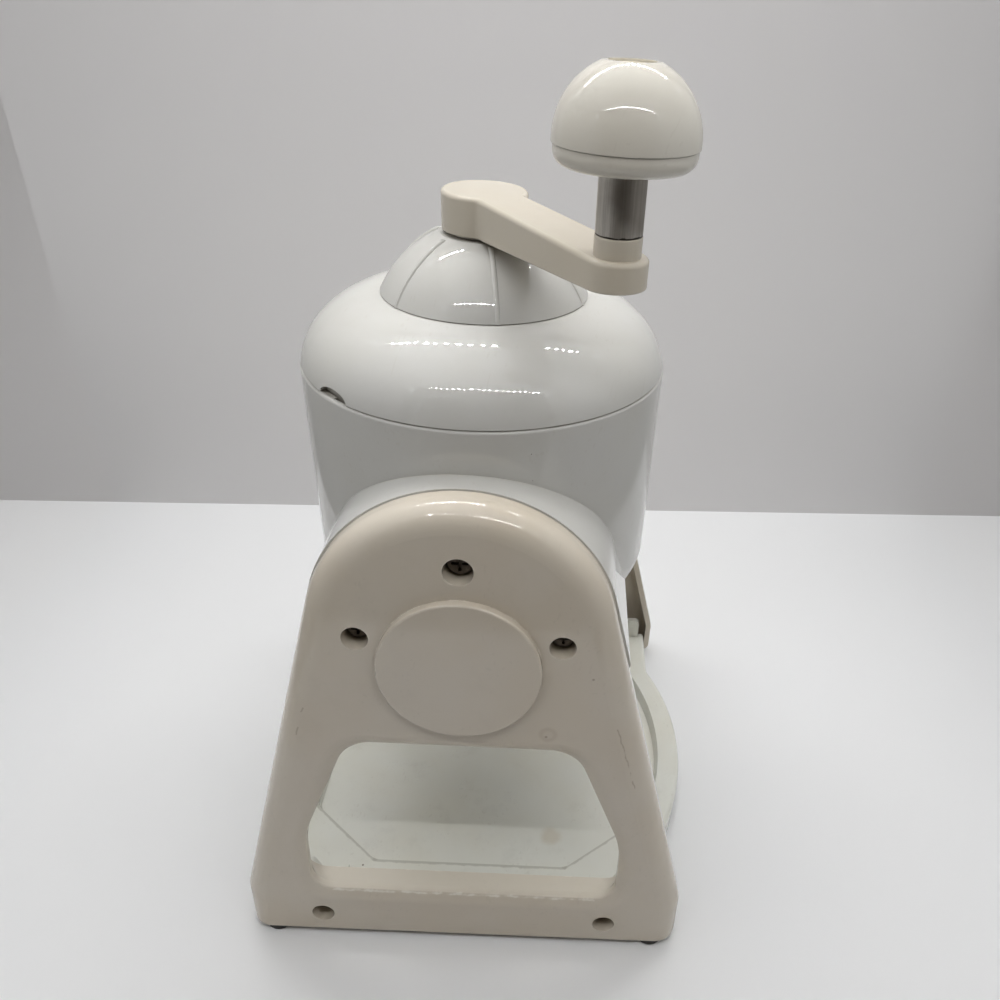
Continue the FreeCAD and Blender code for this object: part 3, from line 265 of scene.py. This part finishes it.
# %% Hem and lit spots
edge_glow = one_sided("edge_glow", (1.0, 1.0, 1.0), 2.2)
piping, inset = 0.003, 0.001
hem_x = front_x + inset
hems = [[(hem_x, y, 0), (hem_x, y + piping, 0),
         (hem_x, y + piping, opening_z), (hem_x, y, opening_z)] for y in (right_y, jamb_y)]
hems.append([(hem_x, right_y, opening_z), (hem_x, jamb_y, opening_z),
             (hem_x, jamb_y, opening_z + piping), (hem_x, right_y, opening_z + piping)])
sheet("opening_hem", hems, edge_glow, seen=False)
spot_half, spot_z = 0.022, 0.50
spots = []
for x in (0.115, -0.270):
    low_x, high_x = x - spot_half, x + spot_half
    low_z, high_z = spot_z - spot_half, spot_z + spot_half
    spots.append([(low_x, left_y - inset, low_z), (high_x, left_y - inset, low_z),
                  (high_x, left_y - inset, high_z), (low_x, left_y - inset, high_z)])
    spots.append([(high_x, right_y + inset, low_z), (low_x, right_y + inset, low_z),
                  (low_x, right_y + inset, high_z), (high_x, right_y + inset, high_z)])
sheet("lit_spots", spots, edge_glow, seen=False)
print("hem of", len(hems), "lengths and", len(spots), "lit spots")

# %% [markdown]
# ## Lamps
# Two strips of small lamps hang under the ceiling, one near the wall and one over the open
# front.  They give the rows of bright dots on every glossy edge.  Each strip could be a row of
# separate lamps, but one long lamp whose glow is cut into short lengths makes the same dots with
# less noise.

# %% Lamp strips
strip_width, lit_share = 0.008, 0.35


def lamp_strip(name, x, y0, y1, z, count, watts):
    """Long lamp that shines down, with dark gaps so that it looks like a row of small ones."""
    data = bpy.data.lights.new(name, "AREA")
    data.shape = "RECTANGLE"
    data.size = y1 - y0
    data.size_y = strip_width
    data.energy = watts
    data.use_nodes = True
    tree = data.node_tree
    along = node(tree, "SeparateXYZ", Vector=tree.nodes.new("ShaderNodeNewGeometry")
                 .outputs["Parametric"]).outputs[0]
    beat = maths(tree, "FRACT", maths(tree, "MULTIPLY", along, count))
    lit = maths(tree, "LESS_THAN", beat, lit_share)
    tree.links.new(lit, tree.nodes["Emission"].inputs["Strength"])
    lamp = bpy.data.objects.new(name, data)
    lamp.matrix_world = (Matrix.Translation((x, axis_y + (y0 + y1) / 2, z))
                         @ Matrix.Rotation(math.radians(90), 4, "Z"))
    lamp.visible_camera = False
    bpy.context.scene.collection.objects.link(lamp)


lamp_strip("rear_strip", 0.115, -0.220, 0.244, 0.545, 20, 3.3)
lamp_strip("front_strip", -0.290, -0.275, 0.218, 0.565, 20, 2.0)

# %% [markdown]
# ## The room around
# The open front shows a dim room, and towards the back the surroundings are pale grey.  A world
# whose tint changes along X makes both, with no picture needed.  Colours go to the screen by
# the Standard view, so that a tint written here comes out as that tint.

# %% Room
world = bpy.data.worlds.new("room")
bpy.context.scene.world = world
world.use_nodes = True
room = world.node_tree
toward_back = node(room, "SeparateXYZ", Vector=room.nodes.new("ShaderNodeTexCoord")
                   .outputs["Generated"]).outputs[0]
dim = remap(room, toward_back, 0.0, -0.5)
pale_room, dim_room = (0.70, 0.70, 0.70, 1), (0.06, 0.05, 0.04, 1)
room_color = mixed(room, dim, pale_room, dim_room)
room.links.new(room_color, room.nodes["Background"].inputs["Color"])
bpy.context.scene.view_settings.view_transform = "Standard"
print("world", world.name, "in view", bpy.context.scene.view_settings.view_transform)

# %% [markdown]
# ## Moulding ripple
# Injection moulded plastic looks smooth, but its reflections wobble a little: the wall shrinks
# unevenly as it cools, and the polished mould leaves a faint orange peel.  Two noises of
# different sizes make that height.  It could be modelled, but it is far too fine, so it is
# only ever bump.

# %% Ripple group
ripple_group, ripple_in, ripple_out = new_group(
    "moulding_ripple",
    {"Sink Size": ("value", 0.03), "Peel Size": ("value", 0.0012), "Peel Share": ("value", 0.1)},
    {"Height": "value"})
place = place_of(ripple_group)
sink = node(ripple_group, "TexNoise", Vector=place, Detail=1.0,
            Scale=maths(ripple_group, "DIVIDE", 1.0, ripple_in.outputs["Sink Size"]))
peel = node(ripple_group, "TexNoise", Vector=place, Detail=2.0,
            Scale=maths(ripple_group, "DIVIDE", 1.0, ripple_in.outputs["Peel Size"]))
fine = maths(ripple_group, "MULTIPLY", peel.outputs[0], ripple_in.outputs["Peel Share"])
ripple_group.links.new(maths(ripple_group, "ADD", sink.outputs[0], fine),
                       ripple_out.inputs["Height"])
print("group", ripple_group.name)

# %% [markdown]
# ## Yellowing
# Old white plastic turns cream, and never evenly.  This group mixes a fresh and an aged colour
# by a soft cloudy noise, so no surface is one flat colour, and adds a little grey handling dirt
# in larger patches.

# %% Yellowing group
yellow_group, yellow_in, yellow_out = new_group(
    "yellowing",
    {"Fresh": ("color", (0.8, 0.8, 0.8, 1)), "Aged": ("color", (0.8, 0.75, 0.6, 1)),
     "Amount": ("value", 0.5), "Cloud Size": ("value", 0.04), "Dirt": ("value", 0.05)},
    {"Color": "color"})
place = place_of(yellow_group)
cloud_scale = maths(yellow_group, "DIVIDE", 1.0, yellow_in.outputs["Cloud Size"])
cloud = node(yellow_group, "TexNoise", Vector=place, Scale=cloud_scale, Detail=4.0)
patch = remap(yellow_group, cloud.outputs[0], 0.3, 0.7)
aged = maths(yellow_group, "MULTIPLY", patch, yellow_in.outputs["Amount"])
base = mixed(yellow_group, aged, yellow_in.outputs["Fresh"], yellow_in.outputs["Aged"])
smears_per_cloud = 3.1
smear_scale = maths(yellow_group, "MULTIPLY", cloud_scale, smears_per_cloud)
smear = node(yellow_group, "TexNoise", Vector=place, Scale=smear_scale, Detail=6.0,
             Roughness=0.7)
dirt = maths(yellow_group, "MULTIPLY", remap(yellow_group, smear.outputs[0], 0.5, 0.8),
             yellow_in.outputs["Dirt"])
grey_dirt = (0.25, 0.22, 0.18, 1)
yellow_group.links.new(mixed(yellow_group, dirt, base, grey_dirt), yellow_out.inputs["Color"])
print("group", yellow_group.name)

# %% [markdown]
# ## Specks and hairline scratches
# Dark specks are dust in the plastic, dots a few tenths of a millimetre wide.  They come from
# Voronoi cells: a dot at the middle of each cell, kept only in a few random cells.  Hairline
# scratches from handling are noise stretched sixty times along one direction and cut to thin
# bands, then broken up by a second noise.

# %% Speck and hairline groups
speck_group, speck_in, speck_out = new_group(
    "specks",
    {"Spacing": ("value", 0.012), "Radius": ("value", 0.012), "Share": ("value", 0.3)},
    {"Mask": "value"})
cells = node(speck_group, "TexVoronoi", Vector=place_of(speck_group),
             Scale=maths(speck_group, "DIVIDE", 1.0, speck_in.outputs["Spacing"]))
dot = maths(speck_group, "LESS_THAN", cells.outputs["Distance"], speck_in.outputs["Radius"])
chance = node(speck_group, "SeparateColor", Color=cells.outputs["Color"])
kept = maths(speck_group, "LESS_THAN", chance.outputs[0], speck_in.outputs["Share"])
speck_group.links.new(maths(speck_group, "MULTIPLY", dot, kept), speck_out.inputs["Mask"])

hair_group, hair_in, hair_out = new_group(
    "hairlines",
    {"Turn": ("vector", (0, 0, 0)), "Fineness": ("value", 900.0), "Amount": ("value", 0.5)},
    {"Mask": "value"})
hair_stretch = 60
laid = node(hair_group, "Mapping", {"vector_type": "TEXTURE"}, Vector=place_of(hair_group),
            Rotation=hair_in.outputs["Turn"], Scale=(1, 1, hair_stretch))
threads = node(hair_group, "TexNoise", Vector=laid.outputs[0],
               Scale=hair_in.outputs["Fineness"], Detail=0.0)
breaks = node(hair_group, "TexNoise", Vector=place_of(hair_group), Scale=70.0, Detail=2.0)
band = remap(hair_group, threads.outputs[0], 0.70, 0.74)
gaps = remap(hair_group, breaks.outputs[0], 0.52, 0.62)
hair_group.links.new(maths(hair_group, "MULTIPLY", maths(hair_group, "MULTIPLY", band, gaps),
                           hair_in.outputs["Amount"]), hair_out.inputs["Mask"])
print("groups", speck_group.name, hair_group.name)

# %% [markdown]
# ## One scratch, one stain
# Some marks are single and stand in one place.  A scratch is the set of points close to a line
# between two points in space; a stain is a blob, or a ring, about a point.  Both are measured
# in metres on the part itself, so they ride along when it moves and look the same from any
# side.

# %% Scratch and stain groups
scratch_group, scratch_in, scratch_out = new_group(
    "single_scratch",
    {"Start": ("vector", (0, 0, 0)), "End": ("vector", (0, 0, 0.01)), "Width": ("value", 0.0003)},
    {"Mask": "value"})
wobble = node(scratch_group, "TexNoise", Vector=place_of(scratch_group), Scale=300.0)
middle_grey, stray = (0.5, 0.5, 0.5), (0.0012, 0.0012, 0.0012)
swing = vectors(scratch_group, "SUBTRACT", wobble.outputs["Color"], middle_grey)
shake = vectors(scratch_group, "MULTIPLY", swing, stray)
spot = vectors(scratch_group, "ADD", place_of(scratch_group), shake)
reach = vectors(scratch_group, "SUBTRACT", scratch_in.outputs["End"], scratch_in.outputs["Start"])
from_start = vectors(scratch_group, "SUBTRACT", spot, scratch_in.outputs["Start"])
along = maths(scratch_group, "DIVIDE", vectors(scratch_group, "DOT_PRODUCT", from_start, reach),
              vectors(scratch_group, "DOT_PRODUCT", reach, reach), clamp=True)
nearest = node(scratch_group, "VectorMath", {"operation": "SCALE"}, n0=reach, n3=along)
gap = vectors(scratch_group, "DISTANCE", from_start, nearest.outputs[0])
thin = maths(scratch_group, "MULTIPLY", scratch_in.outputs["Width"], 0.5)
scratch_group.links.new(remap(scratch_group, gap, scratch_in.outputs["Width"], thin),
                        scratch_out.inputs["Mask"])

stain_group, stain_in, stain_out = new_group(
    "single_stain",
    {"Centre": ("vector", (0, 0, 0)), "Radius": ("value", 0.004), "Feather": ("value", 0.002),
     "Hollow": ("value", 0.0)},
    {"Mask": "value"})
ragged = node(stain_group, "TexNoise", Vector=place_of(stain_group), Scale=160.0, Detail=3.0)
apart = vectors(stain_group, "DISTANCE", place_of(stain_group), stain_in.outputs["Centre"])
rough_edge = maths(stain_group, "MULTIPLY", maths(stain_group, "SUBTRACT", ragged.outputs[0], 0.5),
                   stain_in.outputs["Feather"])
apart = maths(stain_group, "ADD", apart, rough_edge)
outer = maths(stain_group, "ADD", stain_in.outputs["Radius"], stain_in.outputs["Feather"])
blob = remap(stain_group, apart, outer, stain_in.outputs["Radius"])
inside = maths(stain_group, "SUBTRACT", stain_in.outputs["Radius"], stain_in.outputs["Feather"])
middle = maths(stain_group, "MULTIPLY", remap(stain_group, apart, stain_in.outputs["Radius"],
                                              inside), stain_in.outputs["Hollow"])
stain_group.links.new(maths(stain_group, "SUBTRACT", blob, middle, clamp=True),
                      stain_out.inputs["Mask"])
print("groups", scratch_group.name, stain_group.name)

# %% [markdown]
# ## Painted shade in corners, wear on edges
# Corners are painted a little darker as shade: ambient occlusion over a few millimetres finds
# them.  Edges are rubbed: a rounded-corner normal that differs from the true one marks them, and
# the finishes use that mark both for wear and for a painted highlight.  Both follow the geometry,
# so they land in the right places on any part.

# %% Corner and edge groups
corner_group, corner_in, corner_out = new_group(
    "painted_corner_shade", {"Reach": ("value", 0.004), "Amount": ("value", 0.5)}, {"Mask": "value"})
hidden = node(corner_group, "AmbientOcclusion", {"samples": 6},
              Distance=corner_in.outputs["Reach"])
closed = maths(corner_group, "SUBTRACT", 1.0, hidden.outputs["AO"])
corner_group.links.new(maths(corner_group, "MULTIPLY", remap(corner_group, closed, 0.25, 0.9),
                             corner_in.outputs["Amount"]), corner_out.inputs["Mask"])

edge_group, edge_in, edge_out = new_group(
    "worn_and_highlit_edges", {"Reach": ("value", 0.0008), "Amount": ("value", 0.5)}, {"Mask": "value"})
softened = node(edge_group, "Bevel", {"samples": 4}, Radius=edge_in.outputs["Reach"])
true = edge_group.nodes.new("ShaderNodeNewGeometry")
agree = vectors(edge_group, "DOT_PRODUCT", softened.outputs[0], true.outputs["Normal"])
edge = remap(edge_group, agree, 0.995, 0.90)
rubs = node(edge_group, "TexNoise", Vector=place_of(edge_group), Scale=220.0, Detail=4.0)
worn = remap(edge_group, rubs.outputs[0], 0.42, 0.62)
edge_group.links.new(maths(edge_group, "MULTIPLY", maths(edge_group, "MULTIPLY", edge, worn),
                           edge_in.outputs["Amount"]), edge_out.inputs["Mask"])
print("groups", corner_group.name, edge_group.name)

# %% [markdown]
# ## Lines left by making
# Turned and drawn metal has fine lines along one direction.  They are noise that is squeezed
# across the lines and stretched along them, so one number per axis sets which way they run.

# %% Drawn line group
line_group, line_in, line_out = new_group(
    "drawn_lines", {"Stretch": ("vector", (1, 1, 0.03)), "Fineness": ("value", 900.0)},
    {"Height": "value"})
pulled = vectors(line_group, "MULTIPLY", place_of(line_group), line_in.outputs["Stretch"])
grain = node(line_group, "TexNoise", Vector=pulled, Scale=line_in.outputs["Fineness"],
             Detail=3.0, Roughness=0.65)
line_group.links.new(grain.outputs[0], line_out.inputs["Height"])
print("group", line_group.name)

# %% [markdown]
# ## Starting a finish
# Every finish begins as an empty Principled shader, and ends with its height field plugged into
# a bump node, so two helpers cover the beginning and the end.

# %% Helpers for finishes
def new_finish(name):
    """Empty finish: the material, its node tree and its Principled shader."""
    material = bpy.data.materials.new(name)
    material.use_nodes = True
    return material, material.node_tree, material.node_tree.nodes["Principled BSDF"]


def raise_bumps(tree, shader, height, distance):
    """Lets a height field of the given depth in metres bend the light on a finish."""
    bump = node(tree, "Bump", Height=height, Distance=distance)
    tree.links.new(bump.outputs[0], shader.inputs["Normal"])


print("finishes start as", [s.name for s in bpy.data.materials])

# %% [markdown]
# ## Moulded plastic
# Hopper, lid, dome, tray, legs, arm and knob are the same kind of material in different tints
# and states: styrene plastic, off-white when new and cream when aged.  One recipe makes them
# all from the groups above.  Colour: yellowing, painted shade in corners, specks, hairlines, and
# pale edges that are partly wear and partly painted highlight.  Gloss: a smooth base that
# hairlines and worn edges make rougher.  Bump: moulding ripple.

# %% Recipe for moulded plastic
corner_shade_brown, speck_brown = (0.30, 0.26, 0.20, 1), (0.10, 0.07, 0.05, 1)
hair_brown, worn_highlight_pale = (0.42, 0.38, 0.32, 1), (0.90, 0.86, 0.78, 1)
hair_share, mark_roughness, styrene_ior = 0.35, 0.3, 1.55


def moulded_plastic(name, fresh, aged, amount, dirt=0.05, gloss=0.2, ripple=0.00005, peel=0.02,
                    specks=0.25, hairs=0.35, wear=0.3, corner_shade=0.5, worn_highlight=0.3,
                    turn=(0.3, 0.8, 0.2)):
    """Returns the material, its tree, its shader and its colour so far, for marks to be added."""
    material, tree, shader = new_finish(name)
    color = use_group(tree, yellow_group, Fresh=(*fresh, 1), Aged=(*aged, 1), Amount=amount,
                      Dirt=dirt)["Color"]
    # painted shade: corners are darkened where ambient occlusion finds them
    corner_shade_mask = use_group(tree, corner_group, Amount=corner_shade)["Mask"]
    color = mixed(tree, corner_shade_mask, color, corner_shade_brown)
    spots = use_group(tree, speck_group, Share=specks)["Mask"]
    color = mixed(tree, spots, color, speck_brown)
    lines = use_group(tree, hair_group, Turn=turn, Amount=hairs)["Mask"]
    worn = use_group(tree, edge_group, Amount=wear)["Mask"]
    color = mixed(tree, maths(tree, "MULTIPLY", lines, hair_share), color, hair_brown)
    # pale worn edges: partly wear, partly a painted highlight
    color = mixed(tree, maths(tree, "MULTIPLY", worn, worn_highlight), color, worn_highlight_pale)
    marks = maths(tree, "MAXIMUM", lines, worn)
    rougher = maths(tree, "MULTIPLY", marks, mark_roughness)
    rough = maths(tree, "ADD", gloss, rougher, clamp=True)
    height = use_group(tree, ripple_group, Peel_Share=peel)["Height"]
    tree.links.new(color, shader.inputs["Base Color"])
    tree.links.new(rough, shader.inputs["Roughness"])
    raise_bumps(tree, shader, height, ripple)
    shader.inputs["IOR"].default_value = styrene_ior
    return material, tree, shader, color


white_plastic = moulded_plastic(
    "white_plastic", (0.575, 0.57, 0.545), (0.53, 0.515, 0.465), 0.4, gloss=0.035)[0]
tray_plastic, tray_tree, tray_shader, tray_color = moulded_plastic(
    "tray_plastic", (0.75, 0.755, 0.695), (0.69, 0.67, 0.57), 0.5, dirt=0.12, gloss=0.05)
leg_plastic, leg_tree, leg_shader, leg_color = moulded_plastic(
    "leg_plastic", (0.62, 0.565, 0.48), (0.585, 0.51, 0.40), 0.5, dirt=0.06, gloss=0.06,
    wear=0.8, worn_highlight=0.7)
arm_plastic = moulded_plastic(
    "arm_plastic", (0.55, 0.505, 0.425), (0.52, 0.46, 0.36), 0.5, gloss=0.06)[0]
knob_plastic = moulded_plastic(
    "knob_plastic", (0.62, 0.597, 0.535), (0.58, 0.535, 0.45), 0.4, gloss=0.06, corner_shade=0.15)[0]
cap_plastic = moulded_plastic(
    "cap_plastic", (0.70, 0.62, 0.46), (0.62, 0.52, 0.36), 0.5, gloss=0.35)[0]
print("plastics:", [m.name for m in bpy.data.materials if m.name.endswith("plastic")])

# %% [markdown]
# ## Nylon and rubber
# The bush that the shaft turns in is milky nylon, and the feet are black rubber.  Rubber is
# nearly black with almost no gloss, greyed by dust.  Neither needs a recipe of its own: both are
# the yellowing and ripple groups at other tints and sizes.

# %% Nylon and rubber
nylon, nylon_tree, nylon_shader = new_finish("bush_nylon")
milky = use_group(nylon_tree, yellow_group, Fresh=(0.66, 0.65, 0.6, 1), Aged=(0.58, 0.54, 0.44, 1))
nylon_tree.links.new(milky["Color"], nylon_shader.inputs["Base Color"])
nylon_shader.inputs["Roughness"].default_value = 0.45
raise_bumps(nylon_tree, nylon_shader, use_group(nylon_tree, ripple_group)["Height"], 0.0001)

rubber, rubber_tree, rubber_shader = new_finish("foot_rubber")
dusted = use_group(rubber_tree, yellow_group, Fresh=(0.018, 0.017, 0.016, 1),
                   Aged=(0.05, 0.045, 0.04, 1), Amount=0.6, Cloud_Size=0.006, Dirt=0.1)
rubber_tree.links.new(dusted["Color"], rubber_shader.inputs["Base Color"])
rubber_shader.inputs["Roughness"].default_value = 0.75
raise_bumps(rubber_tree, rubber_shader,
            use_group(rubber_tree, ripple_group, Peel_Share=0.8, Peel_Size=0.0005)["Height"], 0.0003)
print("finishes:", nylon.name, rubber.name)

# %% [markdown]
# ## Metals
# The spindle under the knob is turned aluminium, scratched along its length by years of use.
# Screws are dulled zinc, the shaft is plain steel, the blade is ground stainless steel and the
# spring is drawn wire.  One recipe serves all, because they differ only in numbers: a metallic
# base whose tint and roughness follow the drawn lines, and tarnish in soft patches.

# %% Recipe for metal
streak_share, streak_roughness = 0.5, 0.15


def worked_metal(name, bright, tarnish, stretch, fineness, roughness, tarnished, depth):
    """Returns the material, its tree, its shader and its colour so far, for marks to be added."""
    material, tree, shader = new_finish(name)
    lines = use_group(tree, line_group, Stretch=stretch, Fineness=fineness)["Height"]
    clouds = use_group(tree, yellow_group, Fresh=(*bright, 1), Aged=(*tarnish, 1),
                       Amount=tarnished, Cloud_Size=0.01, Dirt=0.1)["Color"]
    streak = remap(tree, lines, 0.35, 0.7)
    color = mixed(tree, maths(tree, "MULTIPLY", streak, streak_share), clouds, (*tarnish, 1))
    tree.links.new(color, shader.inputs["Base Color"])
    rougher = maths(tree, "MULTIPLY", streak, streak_roughness)
    tree.links.new(maths(tree, "ADD", roughness, rougher), shader.inputs["Roughness"])
    shader.inputs["Metallic"].default_value = 1.0
    raise_bumps(tree, shader, lines, depth)
    return material, tree, shader, color


pin_metal, pin_tree, pin_shader, pin_color = worked_metal(
    "spindle_aluminium", bright=(0.55, 0.52, 0.475), tarnish=(0.27, 0.25, 0.225),
    stretch=(1, 1, 0.03), fineness=1500.0, roughness=0.42, tarnished=0.5, depth=0.00003)
screw_metal = worked_metal(
    "screw_steel", bright=(0.22, 0.20, 0.18), tarnish=(0.10, 0.085, 0.07),
    stretch=(1, 1, 1), fineness=900.0, roughness=0.38, tarnished=0.8, depth=0.00003)[0]
shaft_metal = worked_metal(
    "shaft_steel", bright=(0.55, 0.55, 0.56), tarnish=(0.30, 0.29, 0.28),
    stretch=(0.1, 0.1, 1), fineness=1500.0, roughness=0.28, tarnished=0.4, depth=0.00002)[0]
blade_metal = worked_metal(
    "blade_steel", bright=(0.62, 0.63, 0.65), tarnish=(0.38, 0.38, 0.39),
    stretch=(1, 0.03, 1), fineness=2500.0, roughness=0.20, tarnished=0.3, depth=0.00001)[0]
spring_metal = worked_metal(
    "spring_steel", bright=(0.50, 0.50, 0.51), tarnish=(0.24, 0.22, 0.20),
    stretch=(1, 1, 1), fineness=1200.0, roughness=0.30, tarnished=0.5, depth=0.00002)[0]
print("metals:", [m.name for m in bpy.data.materials if m.name.startswith(
    ("spindle", "screw", "shaft", "blade", "spring"))])

# %% [markdown]
# ## Marks of use, and painted light on the sills
# Some marks belong to this one machine.  They could be painted on a picture, but a mark that is
# measured from points on the part needs no picture and no unwrapping.  The left leg has fine
# scratches, a water ring and dark specks.  Both sills get painted light: a pale band along the
# sill's face, and a painted highlight as a thin bright line on its outer lip.

# %% Marks on the legs
def add_mark(tree, color, mask, laid_color, share):
    """Colour with a stain, painted light or painted shade laid over it where the mask is."""
    return mixed(tree, maths(tree, "MULTIPLY", mask, share), color, (*laid_color, 1))


scratches = [((-0.0844, -0.0461, 0.1098), (-0.0858, -0.0544, 0.0821)),
             ((-0.0848, 0.0566, 0.1014), (-0.0846, 0.0556, 0.1044)),
             ((-0.0843, 0.0543, 0.1113), (-0.0842, 0.0532, 0.1128))]
for start, end in scratches:
    cut = use_group(leg_tree, scratch_group, Start=start, End=end, Width=0.0004)["Mask"]
    leg_color = add_mark(leg_tree, leg_color, cut, (0.36, 0.30, 0.23), 0.55)
lip_x, lip_z, sill_x, sill_z, sill_half = 0.0869, 0.0238, 0.0800, 0.0265, 0.048
for side in (-1, 1):
    ends = [(side * sill_x, axis_y + y, sill_z) for y in (-sill_half, sill_half)]
    # painted light: the sill's face is made paler where light falls on it
    sill_light = use_group(leg_tree, scratch_group, Start=ends[0], End=ends[1], Width=0.009)["Mask"]
    leg_color = add_mark(leg_tree, leg_color, sill_light, (0.86, 0.82, 0.71), 0.4)
    ends = [(side * lip_x, axis_y + y, lip_z) for y in (-sill_half, sill_half)]
    # painted highlight: a thin bright line along the sill's outer lip
    lip_highlight = use_group(leg_tree, scratch_group, Start=ends[0], End=ends[1], Width=0.0007)["Mask"]
    leg_color = add_mark(leg_tree, leg_color, lip_highlight, (0.95, 0.93, 0.87), 0.5)
ring = use_group(leg_tree, stain_group, Centre=(-0.0845, -0.0240, 0.1063), Radius=0.0022,
                 Feather=0.0014, Hollow=0.8)["Mask"]
leg_color = add_mark(leg_tree, leg_color, ring, (0.46, 0.38, 0.29), 0.4)
for centre in ((-0.0834, -0.0370, 0.1298), (-0.0846, -0.0234, 0.1054)):
    dot = use_group(leg_tree, stain_group, Centre=centre, Radius=0.0003, Feather=0.0003)["Mask"]
    leg_color = add_mark(leg_tree, leg_color, dot, (0.20, 0.15, 0.11), 0.5)
leg_tree.links.new(leg_color, leg_shader.inputs["Base Color"])
print("marks on the legs:", len(scratches), "scratches and a ring")

# %% [markdown]
# ## Painted shade and dirt on the tray
# A dark line of painted shade runs along the step around the tray's sunk floor, and a brown
# spot and a crumb lie beside it.  Painted corner shade alone is too faint on so low a step, so
# the step is followed corner by corner, with one soft line between each two corners.

# %% Marks on the tray
step_z, step_side = 0.0085, 0.0632
step_front, step_back, near_half, far_half = -0.0373, 0.0386, 0.0398, 0.0378
front_end, back_end = -0.067, 0.0684
turns = [(-step_side, step_front), (-step_side, step_back), (-far_half, back_end),
         (far_half, back_end), (step_side, step_back), (step_side, step_front),
         (near_half, front_end), (-near_half, front_end)]
corners = [(x, axis_y + y, step_z) for x, y in turns]
# painted shade: a soft dark line along the edge of the step
for start, end in zip(corners, corners[1:] + corners[:1]):
    step_shade = use_group(tray_tree, scratch_group, Start=start, End=end, Width=0.0014)["Mask"]
    tray_color = add_mark(tray_tree, tray_color, step_shade, (0.42, 0.41, 0.35), 0.6)
brown = use_group(tray_tree, stain_group, Centre=(-0.0464, axis_y - 0.0312, 0.0055), Radius=0.002,
                  Feather=0.004)["Mask"]
tray_color = add_mark(tray_tree, tray_color, brown, (0.54, 0.46, 0.33), 0.4)
crumb = use_group(tray_tree, stain_group, Centre=(-0.0660, axis_y + 0.0429, 0.0085),
                  Radius=0.0003, Feather=0.0003)["Mask"]
tray_color = add_mark(tray_tree, tray_color, crumb, (0.14, 0.11, 0.08), 0.8)
tray_tree.links.new(tray_color, tray_shader.inputs["Base Color"])
print("marks on the tray:", len(corners), "lengths of dirt, a spot and a crumb")

# %% [markdown]
# ## Painted reflection and grime on the pin
# The side of the pin that faces the front is painted darker, as a painted reflection of the dim
# room, and black grime with a ragged edge sits where it enters the arm.  The edge is the height
# above the arm, made uneven by a noise.

# %% Marks on the pin
pin_low, pin_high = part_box("knob_spindle")
arm_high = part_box("crank_arm")[1]
dark_reflection_height, chip_depth, grime_edge = 0.010, 0.0008, 0.0001
pin_side = ((pin_low.x + pin_high.x) / 2, pin_low.y, arm_high.z + dark_reflection_height)
# painted reflection: a darker patch standing in for the dim room seen in the metal
dark_reflection = use_group(pin_tree, stain_group, Centre=pin_side, Radius=0.008, Feather=0.004)["Mask"]
pin_color = add_mark(pin_tree, pin_color, dark_reflection, (0.20, 0.18, 0.155), 0.75)
pin_place = place_of(pin_tree)
chips = node(pin_tree, "TexNoise", Vector=pin_place, Scale=500.0, Detail=2.0).outputs[0]
level = node(pin_tree, "SeparateXYZ", Vector=pin_place).outputs[2]
above = maths(pin_tree, "SUBTRACT", level, arm_high.z)
ragged_level = maths(pin_tree, "ADD", above, maths(pin_tree, "MULTIPLY", chips, -chip_depth))
grime = remap(pin_tree, ragged_level, grime_edge, -grime_edge)
pin_color = add_mark(pin_tree, pin_color, grime, (0.02, 0.015, 0.01), 0.9)
pin_tree.links.new(pin_color, pin_shader.inputs["Base Color"])
print("grime on the pin at z", round(arm_high.z, 4))

# %% [markdown]
# ## Dressing the parts
# Each CAD part keeps its mesh and gets its finish in its own material slots.  A table from
# finish to part names keeps this in one place, and the cell stops if a part is left out.

# %% Finishes on parts
wardrobe = {
    white_plastic: ["hopper", "lid", "lid_dome", "ice_pusher"],
    tray_plastic: ["base_tray"],
    leg_plastic: ["left_leg", "right_leg"],
    arm_plastic: ["crank_arm"],
    knob_plastic: ["knob_shell", "knob_ring"],
    cap_plastic: ["knob_cap"],
    nylon: ["shaft_bush", "thrust_washer"],
    rubber: ["rubber_feet"],
    pin_metal: ["knob_spindle"],
    screw_metal: ["leg_top_screws", "leg_side_screws", "leg_base_screws", "dome_screws",
                  "blade_screws", "knob_screw", "knob_washer", "spindle_screw"],
    shaft_metal: ["crank_shaft", "pusher_nut", "spring_washer"],
    blade_metal: ["blade", "spike_plate"],
    spring_metal: ["feed_spring"],
}
for finish, names in wardrobe.items():
    for name in names:
        for material_slot in nodes[name].material_slots:
            material_slot.material = finish
dressed = sorted(name for names in wardrobe.values() for name in names)
assert dressed == sorted(nodes), set(nodes) ^ set(dressed)
print("dressed parts:", len(dressed))
